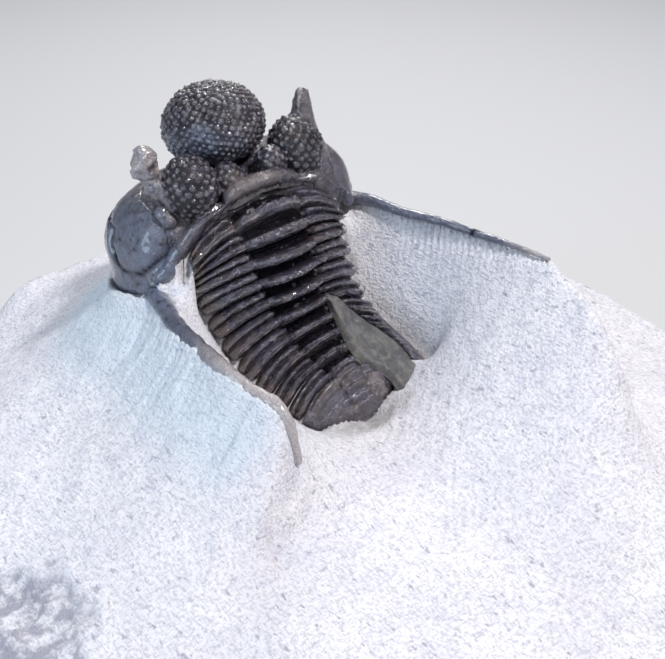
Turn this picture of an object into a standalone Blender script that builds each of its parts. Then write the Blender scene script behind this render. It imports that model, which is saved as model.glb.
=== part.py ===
"""A fossil trilobite, Cyphaspis, freed from its limestone and left standing on it.

The head is high and level on a pedestal of rock, the thorax drops steeply behind it and flattens
towards the tail, and a wall of rock under each long genal spine leaves a valley between them.
Sizes are in millimetres and angles in degrees. MM turns a size into metres. The rock is laid out
in world axes, with the origin under its middle. The animal is laid out in its own axes, with x to
its right, y forward and z up from the middle of its neck ring, and place() sets it on the rock.
"""

import math

import bmesh
import bpy
import numpy as np

MM = 0.001
CLEARANCE = 0.04
CUT_HEIGHT = 30.0

# The rock block
ROCK_HALF_WIDTH = 23.0
ROCK_HALF_DEPTH = 23.0
CORNER_LOSS = 0.5
PLATEAU_HEIGHT = 11.2
PLATEAU_TILT = 0.13
PLATEAU_SAG = 1.8
SAG_RADIUS = 20.0
TILT_DIRECTION = (0.57, 0.82)
# The rock is lower at its rear left corner and behind the right wall
CORNER_DROP = 2.2
CORNER_FROM = (-6.5, 8.0)
RIGHT_DROP = 1.6
RIGHT_DROP_FROM = (9.0, -8.0)
SIDE_BULGE = 0.5
SIDE_TAPER = 0.7
FOOT_SPREAD = 3.6
RIGHT_FOOT_SPREAD = 1.3
RIGHT_FOOT_FROM = 0.0
RIGHT_FOOT_TO = 4.0
CREST_HALF_WIDTH = 0.35
VALLEY_REACH = 6.0
BED_MARGIN = 0.15

# Rows and columns of the rock's surface: shares of the plain ground, then offsets from a wall top
PLAIN_SHARES = (0.0, 0.3, 0.6, 0.82)
WALL_OFFSETS = (3.2, 1.6, 0.8, 0.3)
VALLEY_COLUMNS = 9
NEAR_ROWS = (-9.0, 13.6, 20)
FAR_SHARES = (0.0, 0.4, 0.75)

# How the two walls run on, past their spines, down to the plain: x, y and height
LEFT_WALL_END = [(-6.3, -6.3, 11.2), (-6.0, -8.5, 9.4), (-6.0, -23.0, 6.0)]
RIGHT_WALL_END = [(8.5, -9.3, 17.3), (8.8, -11.2, 14.6), (9.3, -13.6, 11.2), (10.0, -23.0, 6.0)]

# Where and how the animal sits
NECK = np.array([-1.5, 4.5, 21.5])
NOSE_DOWN = 6.7
RIGHT_SIDE_UP = 7.0

# The thorax: ten segments on a back line that drops, then flattens
SEGMENTS = 10
BACK_START = (0.0, 0.53, -0.91)
SLOPE_NECK = 36.0
SLOPE_STEEP = 82.0
SLOPE_TAIL = 38.0
STEEPEST_AT = 0.28
BEND_TO_RIGHT = 5.0
SEGMENT_FRONT = 1.16
SEGMENT_REAR = 0.82
AXIS_FRONT = 1.97
AXIS_REAR = 0.75
TIP_FRONT = 4.95
TIP_REAR = 3.2
RIGHT_FLARE = 0.45
RIGHT_SWEEP = 1.0
FLARE_FROM = 5.0
DROP_FRONT = 1.9
DROP_REAR = 0.85
SWEEP_FRONT = 0.53
SWEEP_REAR = 0.8
AXIS_SHARE = 3.0 / 7.0
RING_RISE = 0.85
SHELL = 0.62
TIP_SHELL = 0.38
SEGMENT_GAP = 0.04
SEGMENT_COLUMNS = [-1, -0.9, -0.68, -0.43, -0.33, 0, 0.33, 0.43, 0.6, 0.77, 0.91, 0.95, 1]
SEGMENT_ROWS = [0.0, 0.42, 0.54, 1.0]
BED_ROWS = 24
BACK_STEPS = 400

# The tail shield
TAIL_LENGTH = 2.4
TAIL_DROP = 0.7
TAIL_SLOPE_END = 70.0

# The grey fill where the rear right pleurae are missing
FILL_FROM = 5.5
FILL_TO = 10.0
FILL_INNER = 0.43
FILL_OUTER = 0.91
FILL_DEPTH = 0.4
FILL_CROWN = 0.1

# The head
MARGIN_LEVEL = -3.5
MARGIN_TILT = 0.085
HEAD_DEPTH = 0.45
GLABELLA_CENTRE = (0.0, 3.76, 2.72)
GLABELLA_AXES = (2.62, 2.75, 2.15)
DOME_CENTRE = (3.2, 1.46, 0.75)
DOME_AXES = (1.38, 1.45, 1.7)
BASAL_LOBE_CENTRE = (1.35, 1.0, 0.75)
BASAL_LOBE_RADIUS = 0.8
TUBERCLE_RISE = 0.11
HORN_TIP = (4.65, 2.15, 3.5)
HORN_BASE = (4.25, 2.3, 0.2)
HORN_RADII = (0.3, 0.62)
BORDER_RADIUS = 0.38
BORDER_SHARE = 0.96
BORDER_LEVEL = 0.36

PARTS = "cyphaspis_fossil"
CUTTERS = "cutters"

# The head's outline from above, right half, from the front to the rear, and the facial suture
MARGIN = [
    (0, 8.5), (2.9, 8.1), (5.0, 7.15), (6.4, 5.9), (6.95, 4.4),
    (6.75, 2.9), (6.2, 1.6), (4.9, 1.0), (2.6, 0.3),
    (0, 0.0),
]
SUTURE = [(2.6, 9.5), (3.0, 7.2), (3.9, 5.2), (4.95, 3.6), (5.15, 2.2), (5.0, 1.2), (4.9, -1.0)]
HEAD_CENTRE = (0.0, 4.0)
SPACE_BELOW = -3.6
SPACE_ABOVE = 2.5
SPACE_LENGTH = 4.0
SPACE_REACH = 1.2
CROWN = 0.9
HEAD_ROOM = 1.03

# The raised rear border of the head, from the neck ring to the genal angle
REAR_BORDER = [
    (1.9, 0.2, -0.45), (3.2, 0.35, -0.7), (4.66, 0.93, -1.88), (5.5, 1.25, -2.85), (6.02, 1.83, -3.2),
]
REAR_RADII = [0.36, 0.4, 0.4]

# The genal spines, which lie along the tops of the two walls
LEFT_SPINE = [
    (-6.1, 2.3, -3.85), (-6.8, -1.4, -4.8), (-6.9, -5.1, -5.6), (-6.6, -7.0, -6.4), (-6.2, -9.0, -7.2),
    (-6.2, -9.3, -9.8),
]
RIGHT_SPINE = [
    (6.1, 2.2, -3.1), (6.5, 0.2, -3.05), (6.9, -1.6, -3.4), (7.6, -4.0, -3.7), (8.3, -6.3, -4.2),
    (8.8, -8.7, -4.55), (9.15, -10.5, -4.9),
]
LEFT_SPINE_RADII = [0.5, 0.45, 0.42, 0.4, 0.3]
RIGHT_SPINE_RADII = [0.5, 0.36, 0.3, 0.25, 0.2]

# The neck ring, and how deep the cutters that part the head's pieces reach
NECK_RING = [(-2.1, 0.15, -0.5), (-1.3, 0.1, 0.0), (0, 0.1, 0.2), (1.3, 0.1, 0.0), (2.1, 0.15, -0.5)]
NECK_RING_RADII = [0.45, 0.5, 0.45]
BASE_OVERLAP = 1.0
SEAT_DEPTH = 9.0
CUTTER_FLOOR = -14.0
CUTTER_TOP = 6.5
CHEEK_FRONT = 9.5
CHEEK_REAR = -1.0


def turn(angle, axis):
    """A rotation matrix about the x or the y axis."""
    c, s = math.cos(math.radians(angle)), math.sin(math.radians(angle))
    rows = {
        "x": ((1, 0, 0), (0, c, -s), (0, s, c)),
        "y": ((c, 0, s), (0, 1, 0), (-s, 0, c)),
    }
    return np.array(rows[axis])


POSE = turn(-NOSE_DOWN, "x") @ turn(-RIGHT_SIDE_UP, "y")


def place(points):
    """Points in the animal's axes, as millimetres in the world."""
    return np.asarray(points) @ POSE.T + NECK


def ease(t):
    """A smooth step from 0 to 1."""
    t = np.clip(t, 0.0, 1.0)
    return t * t * (3.0 - 2.0 * t)


def blend(a, b, t):
    return a + (b - a) * t


def curve_through(knots, places):
    """Points on a smooth curve through a few knots, at places from 0 to 1 along it."""
    knots = np.array(knots, float)
    padded = np.vstack([2 * knots[0] - knots[1], knots, 2 * knots[-1] - knots[-2]])
    places = np.clip(places, 0.0, 1.0) * (len(knots) - 1)
    index = np.minimum(places.astype(int), len(knots) - 2)
    t = (places - index)[..., None]
    a, b, c, d = (padded[index + k] for k in range(4))
    curved = (2 * a - 5 * b + 4 * c - d) * t**2 + (3 * b - a - 3 * c + d) * t**3
    return b + 0.5 * ((c - a) * t + curved)


def back_line():
    """Fine stations along the back: place, tangent, dorsal normal and right, each one row a step."""
    u = np.linspace(0.0, 1.0, BACK_STEPS + 1)
    rise = blend(SLOPE_NECK, SLOPE_STEEP, ease(u / STEEPEST_AT))
    fall = blend(SLOPE_STEEP, SLOPE_TAIL, ease((u - STEEPEST_AT) / (1.0 - STEEPEST_AT)))
    slope = np.radians(np.where(u < STEEPEST_AT, rise, fall))
    bend = np.radians(BEND_TO_RIGHT * ease((u - 0.3) / 0.5))
    zero = np.zeros_like(u)
    straight = np.stack([zero, -np.cos(slope), -np.sin(slope)], axis=1)
    normal = np.stack([zero, -np.sin(slope), np.cos(slope)], axis=1)
    side = np.stack([zero + 1.0, zero, zero], axis=1)
    cos, sin = np.cos(bend)[:, None], np.sin(bend)[:, None]
    tangent = straight * cos + side * sin
    right = side * cos - straight * sin
    length = blend(SEGMENT_FRONT, SEGMENT_REAR, u[:-1]) * SEGMENTS / BACK_STEPS
    steps = (tangent[:-1] + tangent[1:]) / 2 * length[:, None]
    line = np.vstack([[BACK_START], BACK_START + np.cumsum(steps, axis=0)])
    return line, tangent, normal, right


BACK = back_line()


def at_station(t):
    """Place, tangent, normal and right at stations from 0 at the neck to SEGMENTS at the tail."""
    index = np.clip(t, 0.0, SEGMENTS) / SEGMENTS * BACK_STEPS
    low = np.minimum(index.astype(int), BACK_STEPS - 1)
    share = (index - low)[..., None]
    found = [rows[low] * (1.0 - share) + rows[low + 1] * share for rows in BACK]
    beyond = (t - np.clip(t, 0.0, SEGMENTS))[..., None]
    found[0] = found[0] + found[1] * beyond
    return found


def axis_half_width(t):
    return blend(AXIS_FRONT, AXIS_REAR, (np.clip(t, 0, SEGMENTS) / SEGMENTS) ** 1.5)


def pushed_open(t, q):
    """From 0 to 1 at the rear on the right, where the pleurae were pushed out and back."""
    return ease((t - FLARE_FROM) / (SEGMENTS - FLARE_FROM)) * (q > 0)


def tip_half_width(t, q):
    width = blend(TIP_FRONT, TIP_REAR, (np.clip(t, 0, SEGMENTS) / SEGMENTS) ** 1.5)
    return width * blend(0.9, 1.0, ease(t / 3.0)) * (1.0 + RIGHT_FLARE * pushed_open(t, q))


def back_point(t, q, lift):
    """A point of the thorax: station t, q from -1 at the left tips to 1 at the right, raised by lift."""
    line, tangent, normal, right = at_station(t)
    share = np.clip(t / SEGMENTS, 0.0, 1.0)
    out = np.abs(q)
    across = np.clip(out / AXIS_SHARE, 0.0, 1.0)
    beyond = np.maximum((out - AXIS_SHARE) / (1.0 - AXIS_SHARE), 0.0)
    axis, tip = axis_half_width(t), tip_half_width(t, q)
    x = np.sign(q) * (axis * across + (tip - axis) * beyond)
    beyond = np.minimum(beyond, 1.05)
    ring = RING_RISE * blend(1.0, 0.6, share) * (1.0 - across**2.2)
    drop = blend(DROP_FRONT, DROP_REAR, share) * blend(0.6, 1.0, ease(t / 3.0))
    height = ring - drop * (0.12 * beyond + 0.88 * beyond**1.9) + lift
    sweep = (blend(SWEEP_FRONT, SWEEP_REAR, share) + RIGHT_SWEEP * pushed_open(t, q)) * beyond**2
    return line + right * x[..., None] + normal * height[..., None] + tangent * sweep[..., None]


def segment_relief(v, q):
    """Height of one segment's surface: a raised ring edge on the axis, two bands on the pleurae."""
    on_axis = 1.0 - ease((np.abs(q) - 0.36) / 0.12)
    ring = blend(-0.34, 0.06, ease((v - 0.2) / 0.3))
    bands = 0.05 - 0.14 * np.exp(-(((v - 0.42) / 0.1) ** 2)) - 0.12 * np.exp(-((v / 0.1) ** 2))
    return blend(bands, ring, on_axis)


def tail_point(v, q, lift):
    """A point of the tail shield: v from 0 at its front edge to 1 at its rim, q across."""
    line, tangent, normal, right = at_station(np.full_like(v, float(SEGMENTS)))
    out = np.abs(q)
    across = np.clip(out / AXIS_SHARE, 0.0, 1.0)
    beyond = np.clip((out - AXIS_SHARE) / (1.0 - AXIS_SHARE), 0.0, 1.05)
    width = np.sqrt(np.clip(1.0 - 0.84 * v**2.4, 0.0, 1.0))
    x = np.sign(q) * (AXIS_REAR * across + (TIP_REAR - AXIS_REAR) * beyond) * width
    ring = 0.6 * RING_RISE * (1.0 - across**2.2) * (1.0 - ease(v / 0.75))
    sag = DROP_REAR * (0.12 * beyond + 0.88 * beyond**1.9) * (1.0 - 0.3 * v) + TAIL_DROP * v**3
    slope = np.radians(TAIL_SLOPE_END - SLOPE_TAIL) * v / 2
    reach = TAIL_LENGTH * v * (1.0 - 0.12 * beyond**2)
    along = reach * np.cos(slope) + SWEEP_REAR * beyond**2 * (1.0 - v)
    height = ring - sag + lift - reach * np.sin(slope)
    return line + right * x[..., None] + normal * height[..., None] + tangent * along[..., None]


def head_margin(x):
    """Height of the head's rim, which is lower on the left."""
    return MARGIN_LEVEL + MARGIN_TILT * x


def outline(angle):
    """The head's outline from above, at an angle about its centre, counted from the right side."""
    right = np.array(MARGIN, float)
    loop = np.vstack([right, (right * (-1, 1))[-2:0:-1]])
    loop = curve_through(np.vstack([loop, loop[:1]]), np.linspace(0.0, 1.0, 240))
    around = np.arctan2(loop[:, 1] - HEAD_CENTRE[1], loop[:, 0] - HEAD_CENTRE[0])
    order = np.argsort(around)
    x = np.interp(angle, around[order], loop[order, 0], period=2 * math.pi)
    y = np.interp(angle, around[order], loop[order, 1], period=2 * math.pi)
    return x, y


def head_point(u, v):
    """A point of the head shield's upper surface. The unit square of u and v becomes its outline."""
    a, b = 2 * u - 1, 2 * v - 1
    across, along = a * np.sqrt(1 - b * b / 2), b * np.sqrt(1 - a * a / 2)
    out = np.hypot(across, along)
    angle = np.arctan2(along, across)
    rim_x, rim_y = outline(angle)
    x = HEAD_CENTRE[0] + (rim_x - HEAD_CENTRE[0]) * out
    y = HEAD_CENTRE[1] + (rim_y - HEAD_CENTRE[1]) * out
    steepness = 2.0 + 1.2 * np.abs(np.cos(angle))
    dome = np.clip(1 - out**steepness, 0, 1) ** (1 / steepness)
    low = head_margin(x)
    return np.stack([x, y, low + HEAD_DEPTH + (CROWN - low - HEAD_DEPTH) * dome], axis=-1)


def spine_underground(knots, end):
    """A wall top in world axes: along a genal spine, then down to the plain."""
    spine = place(curve_through(knots, np.linspace(0.0, 1.0, 40)))
    run_out = curve_through(np.vstack([spine[-1:], end]), np.linspace(0.0, 1.0, 40))
    return np.vstack([spine, run_out[1:]])


def crest_line():
    """The top edge of the rock in world axes: up the left wall, round the head, down the right wall."""
    angle = np.radians(np.linspace(200.0, -20.0, 90))
    x, y = outline(angle)
    margin = place(np.stack([x, y, head_margin(x) - 2 * CLEARANCE], axis=-1))
    left = spine_underground(LEFT_SPINE, LEFT_WALL_END)[::-1]
    return np.vstack([left, margin, spine_underground(RIGHT_SPINE, RIGHT_WALL_END)])


def underside(t, q):
    """The underside of the thorax, which its bed in the rock follows."""
    return back_point(t, q, -shell_depth(q))


def shell_depth(q):
    return blend(SHELL, TIP_SHELL, np.clip(np.abs(q), 0, 1) ** 3)


def inside(x, y, loop):
    """Whether points lie inside a closed loop."""
    a, b = loop, np.roll(loop, -1, axis=0)
    x, y = x[:, None], y[:, None]
    crosses = (a[:, 1] > y) != (b[:, 1] > y)
    rise = np.where(a[:, 1] == b[:, 1], 1.0, b[:, 1] - a[:, 1])
    at = a[:, 0] + (y - a[:, 1]) * (b[:, 0] - a[:, 0]) / rise
    return np.sum(crosses & (x < at), axis=1) % 2 == 1


def nearest(x, y, points):
    """Horizontal distance to the nearest of some points, and that point's height."""
    gap = np.hypot(x[:, None] - points[:, 0], y[:, None] - points[:, 1])
    index = np.argmin(gap, axis=1)
    return gap[np.arange(len(x)), index], points[index, 2]


def plain(x, y):
    """The broken face of the rock away from the animal."""
    tilt = PLATEAU_TILT * (TILT_DIRECTION[0] * x + TILT_DIRECTION[1] * y)
    corner = CORNER_DROP * ease((CORNER_FROM[0] - x) / 3.5) * ease((y - CORNER_FROM[1]) / 10.0)
    right = RIGHT_DROP * ease((x - RIGHT_DROP_FROM[0]) / 4.0) * ease((y - RIGHT_DROP_FROM[1]) / 5.0)
    return PLATEAU_HEIGHT + tilt - PLATEAU_SAG * (x * x + y * y) / SAG_RADIUS**2 - corner - right


def rock_height(x, y):
    """Height of the rock before the bed of the animal is cut: plain, walls, and the valley between."""
    crest = crest_line()
    t, q = np.meshgrid(np.linspace(-0.3, SEGMENTS + 1.6, 60), np.linspace(-1.0, 1.0, 41))
    bed = place(underside(t.ravel(), q.ravel() * np.where(t.ravel() > SEGMENTS, 0.85, 1.0)))
    to_crest, top = nearest(x, y, crest)
    to_bed, low = nearest(x, y, bed)
    ground = plain(x, y)
    floor = blend(low + BED_MARGIN, ground, ease(to_bed / VALLEY_REACH))
    up = (to_bed / (to_bed + to_crest + 1e-9)) ** 1.3 * np.exp(-((to_crest / VALLEY_REACH) ** 2))
    valley = floor + np.maximum(top - floor, 0.0) * up
    away = np.maximum(to_crest - CREST_HALF_WIDTH, 0.0)
    on_right = ease((x - RIGHT_FOOT_FROM) / (RIGHT_FOOT_TO - RIGHT_FOOT_FROM))
    spread = blend(FOOT_SPREAD, RIGHT_FOOT_SPREAD, on_right)
    flank = ground + np.maximum(top - ground, 0.0) * np.exp(-away / spread)
    return np.where(inside(x, y, crest[:, :2]), valley, flank)


def rock_edge(y):
    """Half the rock's width at a place along its depth, with its corners broken off."""
    return ROCK_HALF_WIDTH * (1.0 - CORNER_LOSS * np.abs(y / ROCK_HALF_DEPTH) ** 3)


def rock_rows():
    first, last, count = NEAR_ROWS
    front = blend(-ROCK_HALF_DEPTH, first, np.array(PLAIN_SHARES))
    rear = blend(ROCK_HALF_DEPTH, last, np.array(FAR_SHARES))[::-1]
    return np.concatenate([front, np.linspace(first, last, count), rear])


def rock_columns(y):
    """The x places of the rock's surface points in one row, gathered along the two wall tops."""
    crest = crest_line()
    half = len(crest) // 2
    order = np.argsort(crest[:half, 1]), np.argsort(crest[half:, 1])
    y_seen = np.clip(y, None, 8.0)
    left = np.interp(y_seen, crest[:half][order[0], 1], crest[:half][order[0], 0])
    right = np.interp(y_seen, crest[half:][order[1], 1], crest[half:][order[1], 0])
    edge = rock_edge(y)
    offsets = np.array(WALL_OFFSETS)
    plain_left = blend(-edge, left - offsets[0], np.array(PLAIN_SHARES))
    plain_right = blend(edge, right + offsets[0], np.array(PLAIN_SHARES))[::-1]
    middle = np.linspace(left + offsets[2], right - offsets[2], VALLEY_COLUMNS)
    walls_left = [left - offsets, [left + offsets[3]]]
    walls_right = [[right - offsets[3]], (right + offsets)[::-1]]
    return np.concatenate([plain_left, *walls_left, middle, *walls_right, plain_right])


def new_collection(name):
    collection = bpy.data.collections.new(name)
    bpy.context.scene.collection.children.link(collection)


def new_object(name, mesh, collection=PARTS):
    piece = bpy.data.objects.new(name, mesh)
    bpy.data.collections[collection].objects.link(piece)
    if collection == CUTTERS:
        piece.hide_render = True
        piece.display_type = "WIRE"
    return piece


def set_points(vertices, points):
    for vertex, point in zip(vertices, np.asarray(points) * MM):
        vertex.co = point


def plan_points(shape):
    return np.array([vertex.co[:2] for vertex in shape.verts]) + 0.5


def finish_mesh(shape, name):
    bmesh.ops.recalc_face_normals(shape, faces=shape.faces[:])
    if shape.calc_volume(signed=True) < 0:
        bmesh.ops.reverse_faces(shape, faces=shape.faces[:])
    mesh = bpy.data.meshes.new(name)
    shape.to_mesh(mesh)
    shape.free()
    return mesh


def slab(name, columns, rows, top, bottom, collection=PARTS):
    """A closed solid between two surfaces. Each takes u and v from 0 to 1 and gives world points."""
    shape = bmesh.new()
    bmesh.ops.create_grid(shape, x_segments=columns, y_segments=rows, size=0.5)
    plan = plan_points(shape)
    low = shape.verts[:]
    made = bmesh.ops.extrude_face_region(shape, geom=shape.faces[:])
    high = [item for item in made["geom"] if isinstance(item, bmesh.types.BMVert)]
    plan_high = np.array([vertex.co[:2] for vertex in high]) + 0.5
    set_points(high, top(plan_high[:, 0], plan_high[:, 1]))
    set_points(low, bottom(plan[:, 0], plan[:, 1]))
    return new_object(name, finish_mesh(shape, name), collection)


def rod(name, knots, radii, count, sides=2, extra=0.0):
    """A tapering rod along a smooth curve of the animal, as a mesh with welded caps."""
    places = np.linspace(0.0, 1.0, count)
    points = place(curve_through(knots, places)) * MM
    thickness = np.interp(places, np.linspace(0, 1, len(radii)), radii) + extra
    curve = bpy.data.curves.new(name, "CURVE")
    curve.dimensions = "3D"
    curve.bevel_depth = MM
    curve.bevel_resolution = sides
    curve.use_fill_caps = True
    spline = curve.splines.new("POLY")
    spline.points.add(count - 1)
    for point, where, radius in zip(spline.points, points, thickness):
        point.co = (*where, 1.0)
        point.radius = radius
    drawn = bpy.data.objects.new(name + "_curve", curve)
    bpy.context.scene.collection.objects.link(drawn)
    bpy.context.view_layer.update()
    evaluated = drawn.evaluated_get(bpy.context.evaluated_depsgraph_get())
    mesh = bpy.data.meshes.new_from_object(evaluated)
    bpy.data.objects.remove(drawn)
    shape = bmesh.new()
    shape.from_mesh(mesh)
    bpy.data.meshes.remove(mesh)
    bmesh.ops.remove_doubles(shape, verts=shape.verts[:], dist=1e-6)
    return new_object(name, finish_mesh(shape, name), CUTTERS)


def ball(name, centre, axes, detail, tubercles=False):
    """An ellipsoid. With tubercles, every other point of its surface is raised to a peak."""
    shape = bmesh.new()
    bmesh.ops.create_icosphere(shape, subdivisions=detail - 1, radius=1.0)
    peaks = len(shape.verts) if tubercles else 0
    shape.free()
    shape = bmesh.new()
    bmesh.ops.create_icosphere(shape, subdivisions=detail, radius=1.0)
    unit = np.array([vertex.co[:] for vertex in shape.verts])
    lift = np.where(np.arange(len(unit)) < peaks, TUBERCLE_RISE, 0.0)[:, None]
    set_points(shape.verts, place(unit * (np.array(axes) + lift) + centre))
    return new_object(name, finish_mesh(shape, name), CUTTERS)


def prism(name, plan, low, high):
    """An upright prism in the animal's axes, over a flat outline, between two height functions."""
    shape = bmesh.new()
    corners = place([(x, y, low(x)) for x, y in plan]) * MM
    face = shape.faces.new([shape.verts.new(corner) for corner in corners])
    made = bmesh.ops.extrude_face_region(shape, geom=[face])
    roof = [item for item in made["geom"] if isinstance(item, bmesh.types.BMVert)]
    shift = POSE @ np.array([0.0, 0.0, high - low(0.0)]) * MM
    for vertex in roof:
        vertex.co = vertex.co + type(vertex.co)(shift)
    return new_object(name, finish_mesh(shape, name), CUTTERS)


def combine(piece, operation, *others):
    for other in others:
        modifier = piece.modifiers.new(other.name, "BOOLEAN")
        modifier.operation = operation
        modifier.object = other
        modifier.solver = "MANIFOLD"


def mirrored(points, side):
    return [(x * side, *rest) for x, *rest in points]


def make_segment(number):
    """One thoracic segment: a raised ring over the axis and a banded pleura on each side."""
    columns, rows = SEGMENT_COLUMNS, SEGMENT_ROWS
    first = number - 1

    def surface(u, v):
        q = np.interp(u, np.linspace(0, 1, len(columns)), columns)
        inner = np.interp(v, np.linspace(0, 1, len(rows)), rows)
        pinched = 0.5 + (inner - 0.5) * (1.0 - SEGMENT_GAP) * (1.0 - 0.3 * np.abs(q) ** 10)
        return first + pinched, q, inner

    def top(u, v):
        t, q, inner = surface(u, v)
        lift = segment_relief(inner, q)
        filled = (t > FILL_FROM) & (q > FILL_INNER - 0.01) & (q < FILL_OUTER + 0.01)
        return place(back_point(t, q, np.where(filled, -FILL_DEPTH, lift)))

    def bottom(u, v):
        t, q, inner = surface(u, v)
        return place(underside(t, q))

    return slab(f"thorax_segment_{number:02d}", len(columns) - 1, len(rows) - 1, top, bottom)


def make_fill():
    """The smooth grey plate over the missing right pleurae."""
    columns, rows = 6, 12

    def surface(u, v, lift):
        q = blend(FILL_INNER + 0.02, FILL_OUTER - 0.02, u)
        t = blend(FILL_FROM + 0.08, FILL_TO - 0.06, v)
        return place(back_point(t, q, lift))

    def top(u, v):
        crown = FILL_CROWN * np.clip(16 * u * (1 - u) * v * (1 - v), 0, 1) ** 0.5
        return surface(u, v, crown)

    def bottom(u, v):
        return surface(u, v, np.full_like(u, CLEARANCE - FILL_DEPTH))

    return slab("grey_infill", columns, rows, top, bottom)


def tail_lift(u, v):
    rings = np.where(np.abs(2 * u - 1) < 0.9, 0.07 * np.cos(v * 3 * 2 * math.pi) * (1 - v), 0.0)
    return rings - 0.06


def make_pygidium():
    """The small tail shield, with a short ringed axis."""

    def top(u, v):
        return place(tail_point(0.03 + 0.97 * v, 2 * u - 1, tail_lift(u, v)))

    def bottom(u, v):
        return place(tail_point(0.03 + 0.97 * v, 2 * u - 1, np.full_like(v, -TIP_SHELL)))

    return slab("pygidium", 12, 6, top, bottom)


def thorax_space():
    """All the room behind the first segment's front face, which the head keeps out of."""
    backward = at_station(np.zeros(1))[1]

    def front(u, v):
        q = blend(-SPACE_REACH, SPACE_REACH, u)
        return back_point(np.full_like(u, -CLEARANCE), q, blend(SPACE_BELOW, SPACE_ABOVE, v))

    def rear(u, v):
        return place(front(u, v) + backward * SPACE_LENGTH)

    return slab("thorax_space", 12, 2, lambda u, v: place(front(u, v)), rear, CUTTERS)


def above(points):
    """Points moved up and back, the way that clears the steep thorax without crossing it."""
    return points + CUT_HEIGHT * np.array([0.0, -0.5, 0.87])


def thorax_bed():
    columns = SEGMENT_COLUMNS

    def floor(u, v):
        t, q = blend(-0.13, SEGMENTS + 0.05, v), np.interp(u, np.linspace(0, 1, len(columns)), columns)
        wider = 1.0 + np.where(np.abs(q) > 0.99, 3 * CLEARANCE / tip_half_width(t, q), 0.0)
        return place(back_point(t, q * wider, -shell_depth(q) - 2 * CLEARANCE))

    return slab("thorax_bed", len(columns) - 1, BED_ROWS, lambda u, v: above(floor(u, v)), floor, CUTTERS)


def tail_bed():
    backward = at_station(np.full(1, float(SEGMENTS)))[1]

    def floor(u, v):
        q = 2 * u - 1
        wide = np.where(np.abs(q) > 0.99, 1.05, 1.0)
        points = tail_point(v, q * wide, np.full_like(u, -TIP_SHELL - 2 * CLEARANCE))
        return place(points + backward * np.where(v > 0.99, 2 * CLEARANCE, 0.0)[:, None])

    return slab("tail_bed", 12, 6, lambda u, v: above(floor(u, v)), floor, CUTTERS)


def side_height(x, y):
    """Where the rock's broken side starts, a little below its upper surface."""
    return float(plain(x, y)) - 1.0


def make_rock():
    """The block of limestone: a surface over rows and columns, rough sides and a sawn flat base."""
    rows = rock_rows()
    table = np.array([rock_columns(y) for y in rows])
    shape = bmesh.new()
    bmesh.ops.create_grid(shape, x_segments=table.shape[1] - 1, y_segments=len(rows) - 1, size=0.5)
    plan = plan_points(shape)
    row = np.rint(plan[:, 1] * (len(rows) - 1)).astype(int)
    column = np.rint(plan[:, 0] * (table.shape[1] - 1)).astype(int)
    x, y = table[row, column], rows[row]
    set_points(shape.verts, np.stack([x, y, rock_height(x, y)], axis=-1))
    for share in (0.55, 0.0):
        edges = [edge for edge in shape.edges if edge.is_boundary]
        made = bmesh.ops.extrude_edge_only(shape, edges=edges)
        ring = [item for item in made["geom"] if isinstance(item, bmesh.types.BMVert)]
        for vertex in ring:
            x, y, z = vertex.co / MM
            angle = math.atan2(y, x)
            chips = math.sin(3 * angle + 4 * share) + 0.5 * math.sin(7 * angle - 5 * share)
            inward = SIDE_TAPER * (1.0 - share) + SIDE_BULGE * (0.6 - 0.4 * chips)
            size = 1.0 - inward / ROCK_HALF_WIDTH
            height = share * side_height(x, y)
            vertex.co = (x * size * MM, y * size * MM, height * MM)
    rim = [edge for edge in shape.edges if edge.is_boundary]
    bmesh.ops.edgeloop_fill(shape, edges=rim)
    return new_object("matrix", finish_mesh(shape, "matrix"))


def set_material(piece, colour, roughness):
    material = bpy.data.materials.new(piece.name)
    material.use_nodes = True
    shader = material.node_tree.nodes["Principled BSDF"]
    shader.inputs["Base Color"].default_value = (*colour, 1.0)
    shader.inputs["Roughness"].default_value = roughness
    shader.inputs["Metallic"].default_value = 0.0
    piece.data.materials.clear()
    piece.data.materials.append(material)


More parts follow.
